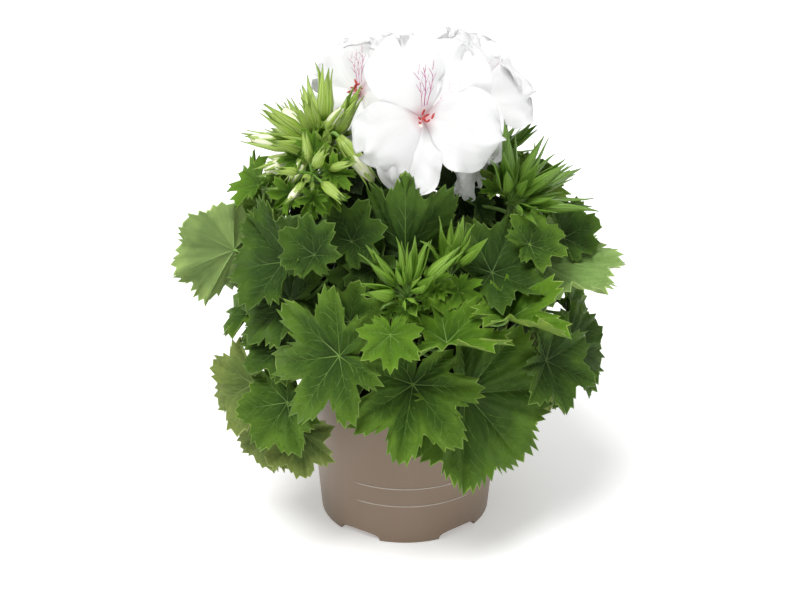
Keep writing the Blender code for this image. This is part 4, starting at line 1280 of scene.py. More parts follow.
    def shape(self, rows: tuple[float, ...]) -> Shape:
        """Closed blade with a ring of points at each share of the way out, from just outside the junction to 1.

        Returns:
            The blade, with its hub, in painted shade, in slot 0, the rest of its upper face in 1, its underside
            in 2 and its margin in 3.
        """
        count = len(self.angles)
        angle = np.concatenate([[0.0]] + [self.angles] * len(rows))
        share = np.concatenate([[0.0]] + [np.full(count, s) for s in rows])
        top, plane = self.place(angle, share, self.THICKNESS / 2)
        low, _ = self.place(angle, share, -self.THICKNESS / 2)
        under = len(top)
        here = np.arange(count)
        ahead = (here + 1) % count
        quads, slots = [], []
        for i in range(len(rows) - 1):
            a, b = 1 + i * count, 1 + (i + 1) * count
            quads.append(np.stack((a + here, b + here, b + ahead, a + ahead), 1))
            quads.append(np.stack((a + ahead, b + ahead, b + here, a + here), 1) + under)
            outer = i == len(rows) - 2
            # Rows near the hub take slot 0, the skin with painted shade
            upper = 0 if rows[i + 1] <= PAINTED_SHADE_REACH else 1
            slots += [np.full(count, 3 if outer else upper), np.full(count, 3 if outer else 2)]
        rim = 1 + (len(rows) - 1) * count
        quads.append(np.stack((under + rim + here, under + rim + ahead, rim + ahead, rim + here), 1))
        slots.append(np.full(count, 3))
        hub = np.zeros(count, int)
        tris = np.concatenate((np.stack((hub, 1 + here, 1 + ahead), 1),
                               np.stack((hub, 1 + ahead, 1 + here), 1) + under))
        slots.append(np.repeat([0, 2], count))
        return Shape(np.concatenate((top, low)), np.concatenate(quads).tolist() + tris.tolist(),
                     np.concatenate(slots), np.concatenate((plane, plane)))

    def veins(self) -> Lines:
        """Centre lines and radii of the main veins and of those that branch off them."""
        lines = []
        for tip, _ in LOBES[:-1]:
            for sign in ((1,) if tip == 0 else (1, -1)):
                middle = radians(tip) * sign
                lines.append(self._vein(np.full(8, middle), np.linspace(0, 0.96, 8), 0.08, 0.62, 0.24))
                for k, start in enumerate(self.VEIN_BRANCHES):
                    for side in (1, -1):
                        swing = radians(21 - 2.5 * k) * side * np.linspace(0, 1, 5) ** 0.85
                        if tip == LOBES[-2][0]:
                            swing *= 0.8
                        share = np.linspace(start, min(start + 0.42, 0.95), 5)
                        lines.append(self._vein(middle + swing, share, 0.2, 0.2, 0.13))
        return lines

    def _vein(self, turn: Array, share: Array, lift: float, first: float, last: float) -> tuple[Array, Array]:
        """One vein, with its lift and its radii in mm, the radii those of a leaf of 40 mm."""
        line, _ = self.place(turn, share, lift * MM)
        return line, np.linspace(first, last, len(line)) * MM * (self.leaf.size / (40 * MM)) ** 0.5


class NodeTree:
    """Tree of Geometry Nodes with named inputs, which turns guide meshes into plain pieces."""

    def __init__(self, name: str, inputs: dict[str, str], nodes: dict[str, tuple[str, dict, dict]],
                 links: tuple[tuple[str, str], ...]) -> None:
        """Build the tree.

        Args:
            name: of the tree.
            inputs: kind of socket of every named input.
            nodes: every node's type, settings and socket values by its name here.
            links: pairs of "node.Socket", from an output to an input.
        """
        self.tree = bpy.data.node_groups.new(name, "GeometryNodeTree")
        face = self.tree.interface
        face.new_socket("Geometry", in_out="INPUT", socket_type="NodeSocketGeometry")
        self.keys = {key: face.new_socket(key, in_out="INPUT", socket_type="NodeSocket" + kind).identifier
                     for key, kind in inputs.items()}
        face.new_socket("Geometry", in_out="OUTPUT", socket_type="NodeSocketGeometry")
        ends = {"enter": ("NodeGroupInput", {}, {}), "leave": ("NodeGroupOutput", {}, {}),
                "real": ("GeometryNodeRealizeInstances", {}, {}), "paint": ("GeometryNodeSetMaterial", {}, {})}
        made = {}
        for key, (kind, settings, values) in (ends | nodes).items():
            made[key] = node = self.tree.nodes.new(kind)
            for setting, value in settings.items():
                setattr(node, setting, value)
            for socket, value in values.items():
                node.inputs[socket].default_value = value
        tail = (("real.Geometry", "paint.Geometry"), ("enter.Skin", "paint.Material"),
                ("paint.Geometry", "leave.Geometry"))
        for start, end in links + tail:
            (node, output), (other, entry) = start.split("."), end.split(".")
            self.tree.links.new(made[node].outputs[output], made[other].inputs[entry])

    def grown(self, name: str, guide_mesh: bpy.types.Mesh, skin: Material, **values: float) -> Piece:
        """Plain piece that the tree makes of a guide mesh, with a skin and values for the named inputs."""
        guide = linked(name + "_guide", guide_mesh)
        modifier = guide.modifiers.new("tree", "NODES")
        modifier.node_group = self.tree
        for key, value in {"Skin": skin, **values}.items():
            modifier[self.keys[key]] = value
        mesh = bpy.data.meshes.new_from_object(guide.evaluated_get(bpy.context.evaluated_depsgraph_get()))
        mesh.name = name
        guide.modifiers.clear()
        bpy.data.objects.remove(guide)
        mesh.materials.clear()
        mesh.materials.append(skin)
        return linked(name, mesh)


class Sweep(NodeTree):
    """Tubes along many lines at once, curves bevelled with a round profile."""

    def __init__(self, sides: int) -> None:
        """Build the tree for tubes of some sides."""
        self.sides = sides
        super().__init__(f"sweep_{sides}", {"Sides": "Int", "Skin": "Material"}, {
            "curve": ("GeometryNodeMeshToCurve", {}, {}),
            "girth": ("GeometryNodeInputNamedAttribute", {"data_type": "FLOAT"}, {"Name": "girth"}),
            "radius": ("GeometryNodeSetCurveRadius", {}, {}),
            "profile": ("GeometryNodeCurvePrimitiveCircle", {}, {"Radius": 1.0}),
            "bevel": ("GeometryNodeCurveToMesh", {}, {"Fill Caps": True}),
        }, (("enter.Geometry", "curve.Mesh"), ("curve.Curve", "radius.Curve"),
            ("girth.Attribute", "radius.Radius"), ("enter.Sides", "profile.Resolution"),
            ("radius.Curve", "bevel.Curve"), ("girth.Attribute", "bevel.Scale"),
            ("profile.Curve", "bevel.Profile Curve"), ("bevel.Mesh", "real.Geometry")))

    def lay(self, name: str, lines: Lines, skin: Material, slot: str, nodes: list[str]) -> None:
        """Make one piece of tubes from the points and the radii of every line, and settle it."""
        starts = np.cumsum([0] + [len(line) for line, _ in lines])
        edges = [(k, k + 1) for a, b in zip(starts, starts[1:]) for k in range(a, b - 1)]
        mesh = bpy.data.meshes.new(name + "_lines")
        mesh.from_pydata(np.concatenate([line for line, _ in lines]).tolist(), edges, [])
        girths = np.concatenate([girth for _, girth in lines]).astype(np.float32)
        mesh.attributes.new("girth", "FLOAT", "POINT").data.foreach_set("value", girths)
        obj = self.grown(name, mesh, skin, Sides=self.sides)
        obj.data.shade_smooth()
        settle(obj, nodes)


class Scatter(NodeTree):
    """Small lumps strewn over the faces of a mesh, with a fixed seed."""

    def __init__(self) -> None:
        """Build the tree."""
        whirl, least, most = (6.28, 6.28, 6.28), (0.4, 0.4, 0.4), (1.5, 1.2, 1.0)
        super().__init__("scatter", {"Density": "Float", "Size": "Float", "Seed": "Int", "Skin": "Material"}, {
            "spread": ("GeometryNodeDistributePointsOnFaces", {}, {}),
            "lump": ("GeometryNodeMeshIcoSphere", {}, {"Subdivisions": 1}),
            "spin": ("FunctionNodeRandomValue", {"data_type": "FLOAT_VECTOR"}, {"Max": whirl}),
            "stretch": ("FunctionNodeRandomValue", {"data_type": "FLOAT_VECTOR"}, {"Min": least, "Max": most}),
            "drop": ("GeometryNodeInstanceOnPoints", {}, {}),
        }, (("enter.Geometry", "spread.Mesh"), ("enter.Density", "spread.Density"),
            ("enter.Seed", "spread.Seed"), ("enter.Size", "lump.Radius"), ("enter.Seed", "spin.Seed"),
            ("enter.Seed", "stretch.Seed"), ("spread.Points", "drop.Points"), ("lump.Mesh", "drop.Instance"),
            ("spin.Value", "drop.Rotation"), ("stretch.Value", "drop.Scale"),
            ("drop.Instances", "real.Geometry")))


@dataclass
class Foliage:
    """All leaf blades, their veins and their stalks."""

    growth: Growth
    rows_fine: tuple[float, ...] = (0.05, 0.13, 0.23, 0.34, 0.45, 0.56, 0.67, 0.77, 0.86, 0.93, 0.98, 1.0)
    rows_plain: tuple[float, ...] = (0.08, 0.25, 0.45, 0.64, 0.8, 0.92, 0.98, 1.0)
    young_sharp: float = 1.5
    sprig_sharp: float = 1.8
    sprigs: int = 6
    sprig_first_turn: float = 40
    sprig_size: tuple[float, float] = (9, 15)
    sprig_lift: tuple[float, float] = (-4, 6)
    sprig_lean: float = 0.5
    sprig_cut: float = 0.45
    sprig_fold: float = 30

    def build(self, thin: Sweep, round_sweep: Sweep) -> None:
        """Make the pieces of every tone, with a thin sweep for the veins and a round one for the stalks."""
        draw = random.Random(SEED + 9)
        blades: dict[Tone, list[Shape]] = {tone: [] for tone in Tone}
        veins: dict[Tone, list] = {tone: [] for tone in Tone}
        petioles = []
        for number, (leaf, stalk) in enumerate(self.growth.grown):
            surface = BladeSurface(leaf, draw, self.young_sharp if leaf.tone is YOUNG else 1.0)
            main = number < self.growth.main_leaves
            blades[leaf.tone].append(surface.shape(self.rows_fine if main else self.rows_plain))
            if main:
                veins[leaf.tone] += surface.veins()
            petioles.append(strand(petiole_path(stalk, leaf, 12), 1.15, 0.85))
        for sprig in self._sprigs():
            blades[YOUNG].append(BladeSurface(sprig, draw, self.sprig_sharp).shape(self.rows_plain))
        for tone in Tone:
            if not blades[tone]:
                continue
            finish = LEAF_FINISHES[tone]
            name = tone.value
            lay(f"leaves_{name}", blades[tone], finish.materials(name), FOLIAGE_NODES)
            if veins[tone]:
                skin = finish.vein_material(name)
                thin.lay(f"leaf_veins_{name}", veins[tone], skin, "foliage", FOLIAGE_NODES)
        round_sweep.lay("leaf_stalks", petioles, STALK_SKIN.material(), "foliage", FOLIAGE_NODES)

    def _sprigs(self) -> list[Leaf]:
        """Small young leaves that stand round the foot of every head of buds."""
        draw = random.Random(SEED + 12)
        sprigs = []
        for side, middle, turn, tilt, *_ in BUD_HEADS:
            hub = Vector(middle) * MM
            along, across, out = axes_of(turn, tilt, 0)
            for i in range(self.sprigs):
                aside = spun(along, across, radians(GOLDEN_TURN * i + self.sprig_first_turn))
                place = hub + aside * draw.uniform(*self.sprig_size) * MM
                place = place + out * draw.uniform(*self.sprig_lift) * MM
                face = (out + aside * self.sprig_lean).normalized()
                face_tilt = degrees(asin(max(-1, min(1, face.z))))
                face_turn = degrees(atan2(face.x, -face.y))
                axis_along, axis_across, _ = axes_of(face_turn, face_tilt, 0)
                roll = degrees(atan2(aside.dot(axis_across), aside.dot(axis_along)))
                sprigs.append(Leaf("crown_" + side, place, face_turn, face_tilt, roll,
                                   draw.uniform(*self.sprig_size) * MM, self.sprig_cut, 0.0,
                                   self.sprig_fold, YOUNG))
        return sprigs


class Calyx:
    """Pointed sepals round a bud or under a flower."""

    ROWS = 7
    COLUMNS = 3
    THICKNESS = 0.4 * MM
    LENGTHS = (0.88, 1.12)
    LEANS = (0.4, 1.3)
    BODY = ((0, 0.45), (0.14, 0.85), (0.34, 1.0), (0.66, 0.62), (1.0, 0.06))

    def __init__(self, foot: Vector, along: Vector, length: float, draw: Draw) -> None:
        """Place a calyx of some length by its lowest point and its direction."""
        self.foot, self.along = np.array(foot), np.array(along)
        self.side = np.array(along.orthogonal().normalized())
        self.cross = np.cross(self.along, self.side)
        self.length = length
        self.draw = draw
        self.first = draw.uniform(0, 2 * pi)

    def sepals(self, open_share: float, slimness: float = BUD_SLIMNESS, flare: float = 0.0,
               count: int = 5, cover: float = 1.0) -> list[Shape]:
        """The sepals, closed over a bud or opened round a flower.

        Args:
            open_share: from 0, closed to a point, to 1, spread wide.
            slimness: radius of the closed bud as a share of its length.
            flare: how far the tips turn outwards, as a share of the length.
            count: number of sepals.
            cover: their width as a share of the usual one, at which they overlap.

        Returns:
            Thin closed blades.
        """
        shapes = []
        t = np.linspace(0, 1, self.ROWS)[:, None]
        s = np.linspace(-1, 1, self.COLUMNS)[None, :]
        body = np.interp(t, *zip(*self.BODY))
        for k in range(count):
            turn = self.first + 2 * pi * k / count + self.draw.uniform(-0.15, 0.15)
            outward = self.side * cos(turn) + self.cross * sin(turn)
            sideways = np.cross(self.along, outward)
            length = self.length * self.draw.uniform(*self.LENGTHS)
            part = self.draw.uniform(0.1, 1.0)
            lean = open_share * self.draw.uniform(*self.LEANS)
            radius = self.length * slimness * body + length * (0.95 * lean * t ** 1.3)
            radius = radius + length * flare * part * np.maximum(t - 0.5, 0) ** 2 * 4
            height = length * t * (1 - 0.75 * lean * t)
            width = cover * length * slimness * np.sin(np.pi * (0.1 + 0.9 * t) ** 0.6) ** 1.15 + 0.1 * MM
            inward = 0.5 * width * s ** 2
            grid = (self.foot + height[..., None] * self.along
                    + (radius - inward)[..., None] * outward + (width * s)[..., None] * sideways)
            plane = np.stack(np.broadcast_arrays(t, s, 0 * t * s + k), 2)
            shapes.append(sheet(grid[:, ::-1], self.THICKNESS, plane[:, ::-1]))
        return shapes

    def core(self, share: float, slimness: float) -> Shape:
        """Furled petals inside the sepals, as a closed pointed body that reaches a share of their length."""
        axes = np.stack((self.side, self.cross, self.along))
        long = self.length * share / 2
        wide = self.length * slimness
        return ball(self.foot + self.along * long * 1.02, np.array([wide, wide, long]), axes, 6, 6)


@dataclass
class BudHeads:
    """Heads of buds: sepals, the pale petals inside, their stalks, and the stalks of the heads."""

    growth: Growth
    second_share: float = 0.3
    second_size: float = 0.62
    ripe_share: float = 0.45
    cover: float = 0.85
    ripe_cover: float = 0.56
    closed_core: tuple[float, float] = (0.6, 0.1)
    ripe_core: tuple[float, float] = (0.86, 0.15)

    def build(self, round_sweep: Sweep) -> None:
        """Make the pieces of every tone."""
        draw = random.Random(SEED + 3)
        sepals: dict[BudTone, list[Shape]] = {tone: [] for tone in BudTone}
        cores, stalks = [], []
        for bud in self._all_buds(draw):
            calyx = Calyx(bud.foot, bud.along, bud.length, draw)
            bright = bud.tone is BRIGHT
            ripe = bright and draw.random() < self.ripe_share
            spread = draw.uniform(0.0, 0.08) if bright else draw.uniform(0.03, 0.2)
            sepals[bud.tone] += calyx.sepals(spread, 0.15 if bright else 0.13, draw.uniform(0.02, 0.2),
                                             5 if bright else 3, self.ripe_cover if ripe else self.cover)
            if bright:
                cores.append(calyx.core(*(self.ripe_core if ripe else self.closed_core)))
            start = bud.foot - bud.along * (bud.stalk + MM)
            stalks.append((np.array([start.lerp(bud.foot, k / 4) for k in range(5)]),
                           np.array([0.75, 0.7, 0.7, 0.8, 1.1]) * MM))
        stalks += [strand(path, 1.9, 1.6) for path in self.growth.head_stalks]
        for foot, tip, slimness in RIPE_BUDS:
            foot, tip = Vector(foot) * MM, Vector(tip) * MM
            calyx = Calyx(foot, (tip - foot).normalized(), (tip - foot).length, draw)
            sepals[BRIGHT] += calyx.sepals(0.05, slimness * 0.85, 0.12, cover=0.5)
            cores.append(calyx.core(0.95, slimness * 0.88))
            hub = Vector(BUD_HEADS[0][1]) * MM
            bent = bezier(hub, hub.lerp(foot, 0.4), foot - (tip - foot) * 0.3, foot, 8)
            stalks.append(strand(bent, 0.9, 1.2))
        for tone, finish in BUD_FINISHES.items():
            name = tone.value
            lay(f"sepals_{name}", sepals[tone], [finish.sepal_material(name)], FOLIAGE_NODES)
        lay("bud_petals", cores, [CREAM_SKIN.material()], FOLIAGE_NODES)
        round_sweep.lay("bud_stalks", stalks, STALK_SKIN.material(), "foliage", FOLIAGE_NODES)

    def _all_buds(self, draw: Draw) -> list[Bud]:
        """The rule's buds, and a smaller one beside most of them."""
        buds = []
        for bud in self.growth.buds:
            buds.append(bud)
            if draw.random() < self.second_share and bud.tone is not FRESH:
                hub = bud.foot - bud.along * bud.stalk
                aside = bud.along.orthogonal().normalized()
                lean = 0.42 * spun(aside, bud.along.cross(aside), draw.uniform(0, 2 * pi))
                direction = (bud.along + lean).normalized()
                stalk = bud.stalk * draw.uniform(0.5, 0.9)
                length = bud.length * self.second_size * draw.uniform(0.75, 1.1)
                buds.append(Bud(hub + direction * stalk, direction, length, stalk, bud.tone))
        return buds


@dataclass
class Flower:
    """One open flower: where it is, how it faces, and its petals."""

    middle: tuple[float, float, float]
    turn: float
    tilt: float
    spin: float
    length: float
    plain_rows: tuple = ((0.03, 0.1), (0.62, 0.95), (1.0, 0.52))
    plain_thickness: float = 0.8 * MM
    cup_radius: float = 2.6 * MM
    rows: int = 30
    columns: int = 33
    thickness: float = 0.35 * MM

    def __post_init__(self) -> None:
        """Work out the centre and axes."""
        self.centre = Vector(self.middle) * MM
        self.axes = axes_of(self.turn, self.tilt, 0)

    def stalk_path(self, count: int) -> list[Vector]:
        """Path of the flower's stalk, from the head's hub to the cup."""
        out = self.axes[2]
        back = self.centre - out * (FLOWER_CUP_DEPTH - 2 * MM)
        span = (back - FLOWER_HUB).length
        return bezier(FLOWER_HUB, FLOWER_HUB + (back - FLOWER_HUB) * 0.3 + upward(span * 0.2),
                      back - out * span * 0.3, back, count)

    def plain_pieces(self) -> list[Coarse]:
        """Plain closed cup, stalk and petals, which leaves keep clear of."""
        out = self.axes[2]
        cup = [self.centre - out * FLOWER_CUP_DEPTH, self.centre - out * FLOWER_CUP_DEPTH * 0.55,
               self.centre + out * MM]
        pieces = [coarse_tube(cup, [1.0 * MM, self.cup_radius, self.cup_radius], 5),
                  coarse_tube(self.stalk_path(3), [PEDICEL_RADIUS] * 4, 3)]
        for petal_turn, share, width, layer in PETALS:
            pieces.append(self._plain_petal(petal_turn + self.spin, share, width, layer))
        return pieces

    def _directions(self, petal_turn: float) -> tuple[Vector, Vector, Vector]:
        """Directions forward along a petal, sideways and out of the face."""
        along, across, out = self.axes
        forward = spun(-along, across, radians(petal_turn))
        return forward, out.cross(forward), out

    def _plain_petal(self, petal_turn: float, share: float, width: float, layer: int) -> Coarse:
        """Closed plain petal, as in the solids."""
        forward, sideways, out = self._directions(petal_turn)
        length = self.length
        verts = []
        for lift in (self.plain_thickness / 2, -self.plain_thickness / 2):
            for t, wide in self.plain_rows:
                rise = (length * PETAL_RISE * sin(pi * 0.72 * t)
                        + layer * PETAL_LAYER * min(2.5 * t, 1))
                for s in (-1, 0, 1):
                    edge = 1 - 0.06 * abs(s) if t == 1.0 else 1.0
                    spot = (self.centre + forward * length * share * t * edge
                            + sideways * s * wide * width * length)
                    verts.append(spot + out * (rise + lift))
        upper = [(k, k + 3, k + 4, k + 1) for k in (0, 1, 3, 4)]
        rim = (0, 1, 2, 5, 8, 7, 6, 3)
        sides = [(a, b, b + 9, a + 9) for a, b in zip(rim, rim[1:] + rim[:1])]
        return verts, upper + [tuple(k + 9 for k in reversed(face)) for face in upper] + sides

    def petal_place(self, row: tuple, t: Array, s: Array, wave: tuple[float, ...],
                    lift: float = 0.0) -> Array:
        """Points of one fine petal.

        Args:
            row: the petal's turn, length share, half width and layer.
            t: shares of the way from the petal's foot to its tip.
            s: shares of the half width, from -1 to 1.
            wave: phases of the ruffles.
            lift: height above the petal, in metres.

        Returns:
            Points with the shape of t and s, and 3.
        """
        petal_turn, share, half_width, layer = row
        forward, sideways, out = (np.array(v) for v in self._directions(petal_turn + self.spin))
        length = self.length
        claw = smooth_step(-0.16, 0.54, t)
        tip = (1 - (np.clip(t - 0.58, 0, 0.42) / 0.42) ** 2.6) ** 0.5
        lean = 1 + 0.1 * s * cos(wave[1])
        bumps = 1 + 0.055 * np.sin(8 * t + wave[0] + 2 * np.sign(s)) * smooth_step(0.3, 0.6, t)
        width = half_width * length * 1.12 * (0.07 + 0.93 * claw) * tip * lean * bumps
        notch = 0.055 * np.exp(-(((s - 0.2 * sin(wave[1])) / 0.18) ** 2)) * smooth_step(0.8, 1.0, t)
        scallop = 0.05 * np.sin(4.6 * s + wave[2]) + 0.026 * np.sin(10 * s + wave[0]) + 0.014 * np.sin(25 * s)
        scallop = scallop * smooth_step(0.5, 1.0, t)
        reach_out = length * share * (t * (1.01 - notch + scallop))
        edge = np.maximum(np.abs(s) ** 2.2 * smooth_step(0.15, 0.6, t), smooth_step(0.62, 1.0, t))
        around = np.arctan2(s * half_width, t - 0.42)
        frill = 0.08 * np.sin(5 * around + wave[0]) + 0.034 * np.sin(12 * around + wave[1])
        ruffle = length * edge ** 1.4 * frill
        rise = length * PETAL_RISE * np.sin(np.pi * 0.72 * t) + layer * PETAL_LAYER * np.minimum(2.5 * t, 1)
        crease = -0.022 * length * np.exp(-((s / 0.16) ** 2)) * np.sin(np.pi * np.clip(t, 0, 1))
        cup = 0.11 * length * s * sin(wave[2]) * smooth_step(0.2, 0.9, t)
        cup = cup - 0.06 * length * s ** 2 * smooth_step(0.1, 0.8, t)
        curl = -0.05 * length * smooth_step(0.78, 1.0, t) ** 2
        folds = 0.006 * length * np.sin(11 * s + wave[1] + 3 * t) * smooth_step(0.1, 0.4, t)
        folds = folds + 0.007 * length * np.sin(21 * s + wave[2] - 4 * t) * smooth_step(0.45, 1.0, t)
        height = rise + ruffle + crease + cup + curl + folds + lift
        return (np.array(self.centre) + reach_out[..., None] * forward + (s * width)[..., None] * sideways
                + height[..., None] * out)

    def petals(self, draw: Draw) -> tuple[list[Shape], Lines]:
        """Fine petals, and the feathered marks on the two upper ones.

        Args:
            draw: source of the petals' differences.

        Returns:
            The closed petals, and the marks' lines and radii.
        """
        shapes, marks = [], []
        t = (np.sin(np.linspace(-0.42, 1, self.rows) * pi / 2) + 0.613) / 1.613
        s = np.sin(np.linspace(-1, 1, self.columns) * pi / 2 * 0.94) / sin(pi / 2 * 0.94)
        t, s = np.meshgrid(np.clip(t, 0.0, 0.998), s, indexing="ij")
        for number, row in enumerate(PETALS):
            wave = tuple(draw.uniform(0, 2 * pi) for _ in range(3))
            grid = self.petal_place(row, t, s, wave)
            shapes.append(sheet(grid, self.thickness, np.stack((t, s, 0 * t + number), 2)))
            if number < len(PETAL_MARKS):
                marks += self._marks(row, wave, draw, *PETAL_MARKS[number])
        return shapes, marks

    def _marks(self, row: tuple, wave: tuple[float, ...], draw: Draw, radius: float,
               starts: tuple[float, ...], top: float) -> Lines:
        """Feathered lines that run up a petal from its foot and branch."""
        lines = []
        girth = radius * MM
        for start in starts:
            end = top + draw.uniform(-0.1, 0.06)
            t = np.linspace(0.14, end, 11)
            s = start * (0.75 + 0.5 * t) + 0.012 * np.sin(14 * t)
            lines.append((self.petal_place(row, t, s, wave, 0.16 * MM), girth * np.linspace(0.6, 0.4, 11)))
            for k in range(5):
                first = 0.24 + 0.075 * k
                side = 1 if k % 2 else -1
                t = np.linspace(first, first + 0.11, 4)
                s = start * (0.75 + 0.5 * t) + side * np.linspace(0, 0.11, 4)
                lines.append((self.petal_place(row, t, s, wave, 0.16 * MM), girth * np.linspace(0.5, 0.25, 4)))
        return lines


@dataclass
class FlowerHead:
    """All open flowers with their stamens, cups and stalks."""

    filaments: int = 7
    stamen_share: tuple[float, float] = (0.15, 0.255)
    least_lean: float = 0.08
    lean_rise: float = 0.44
    anther_radii: tuple[float, float, float] = (0.62, 0.62, 1.9)
    anthers: list[Shape] = field(default_factory=list)
    threads: Lines = field(default_factory=list)
    stigmas: Lines = field(default_factory=list)

    def build(self, round_sweep: Sweep, thin: Sweep) -> None:
        """Make the pieces."""
        draw = random.Random(SEED + 4)
        petals, sepals, marks, stalks = [], [], [], []
        for row in FLOWERS:
            flower = Flower(*row)
            shapes, feathers = flower.petals(draw)
            petals += shapes
            marks += feathers
            out = flower.axes[2]
            cup = flower.centre - out * FLOWER_CUP_DEPTH
            calyx = Calyx(cup, out, 11 * MM, draw)
            sepals += calyx.sepals(0.6, 0.2)
            sepals.append(ball(np.array(cup + out * 3.0 * MM), np.array([2.6, 2.6, 4.5]) * MM,
                               np.stack((calyx.side, calyx.cross, calyx.along)), 12, 8))
            stalks.append(strand(flower.stalk_path(14), 1.0, 0.95))
            self._stamens(flower, draw)
        nodes = ["flower_head"]
        lay("petals", petals, [PetalFinish().material()], nodes)
        lay("flower_sepals", sepals, [BUD_FINISHES[BRIGHT].sepal_material("flower")], nodes)
        lay("anthers", self.anthers, [ANTHER_SKIN.material()], nodes)
        round_sweep.lay("flower_stalks", stalks, STALK_SKIN.material(), "foliage", nodes)
        round_sweep.lay("filaments", self.threads, FILAMENT_SKIN.material(), "blossom", nodes)
        round_sweep.lay("stigmas", self.stigmas, STIGMA_SKIN.material(), "blossom", nodes)
        thin.lay("petal_marks", marks, FEATHER_SKIN.material(), "blossom", nodes)

    def _stamens(self, flower: Flower, draw: Draw) -> None:
        """Add one flower's threads and anthers, bent a little upwards, and the pale forked tip below them."""
        along, across, out = flower.axes
        root = flower.centre + out * 0.5 * MM
        for k in range(self.filaments):
            lean = self.least_lean + self.lean_rise * sqrt(k / self.filaments)
            aside = spun(along, across, radians(GOLDEN_TURN * k))
            length = draw.uniform(*self.stamen_share) * flower.length
            tip = root + (out + aside * lean).normalized() * length + (across - along) * 0.8 * MM
            bent = bezier(root, root + out * length * 0.3, root + out * length * 0.6, tip, 8)
            self.threads.append(strand(bent, 0.4, 0.28))
            axis = aside * draw.uniform(0.2, 1.0) + out * draw.uniform(-0.2, 0.5)
            axis = (axis + across * draw.uniform(-0.5, 0.7) - along * draw.uniform(-0.3, 0.6)).normalized()
            side = axis.orthogonal().normalized()
            self.anthers.append(ball(np.array(tip), np.array(self.anther_radii) * MM,
                                     np.array((side, axis.cross(side), axis)), 8, 6))
        style = root + (out * 7.5 + along * 3.0 - across * 1.0) * MM * flower.length / FLOWERS[0][-1]
        pistil = bezier(root, root + out * 4 * MM, style - out * 3 * MM, style, 8)
        self.threads.append(strand(pistil, 0.5, 0.4))
        for k in range(5):
            end = style + (out * 0.5 + spun(along, across, 2 * pi * k / 5)).normalized() * 1.3 * MM
            curled = bezier(style, style + out * 0.8 * MM, end, end - out * 0.5 * MM, 5)
            self.stigmas.append(strand(curled, 0.45, 0.28))


@dataclass
class Wood:
    """Bark of the stem, skins of the boughs, and the twigs that go on from them."""

    growth: Growth
    stem_sides: int = 40
    stem_rows: int = 60
    stem_relief: float = 0.35 * MM
    bough_steps: int = 22
    bough_sides: int = 16
    bough_relief: float = 0.14 * MM
    twig_steps: int = 20
    twig_sides: int = 14
    twig_relief: float = 0.1 * MM

    def build(self) -> None:
        """Make the stem, the boughs and the twigs."""
        heights = [STEM_HEIGHT * i / self.stem_rows for i in range(self.stem_rows + 1)]
        radii = [stem_radius(h) for h in heights]
        stem = self._rough_tube([stem_axis(h) for h in heights], radii, self.stem_sides, self.stem_relief)
        lay("stem_bark", [stem], [BARK_SKIN.material()], ["main_stem"])
        boughs, twigs = [], []
        for limb in self.growth.limbs.values():
            path = limb.path(self.bough_steps)
            radii = taper(limb.radius, limb.radius * BOUGH_TAPER, len(path) - 1)
            boughs.append(self._rough_tube(path, radii, self.bough_sides, self.bough_relief))
            path = limb.twig_path(self.twig_steps)
            radii = taper(limb.plain_radii[-1], limb.radius * TWIG_TAPER, len(path) - 1)
            twigs.append(self._rough_tube(path, radii, self.twig_sides, self.twig_relief))
        nodes = ["bough_" + name for name in self.growth.limbs]
        lay("bough_skins", boughs, [SHOOT_SKIN.material()], nodes)
        lay("twigs", twigs, [SHOOT_SKIN.material()], FOLIAGE_NODES + ["flower_head"])

    def _rough_tube(self, path: list[Vector], radii: list[float], sides: int, relief: float) -> Shape:
        """Closed tube with rings of old leaf scars and lengthwise ridges."""
        verts, faces = coarse_tube(path, radii, sides)
        points = np.array(verts)
        count = len(path)
        middle = np.repeat(np.array(path), sides, axis=0)
        outward = points - middle
        outward /= np.linalg.norm(outward, axis=1, keepdims=True)
        row = np.repeat(np.arange(count), sides)
        turn = np.tile(np.arange(sides), count) * 2 * pi / sides
        scar = np.maximum(np.cos(row * 0.72 + 0.5 * np.sin(turn)), 0) ** 6
        ridge = 0.6 * np.sin(7 * turn + 0.15 * row) + 0.4 * np.sin(11 * turn - 0.22 * row)
        ends = np.minimum(np.minimum(row, count - 1 - row) / 2, 1.0)
        points += outward * (relief * (0.9 * scar + 0.35 * ridge - 0.3) * ends)[:, None]
        return Shape.plain(points, faces)


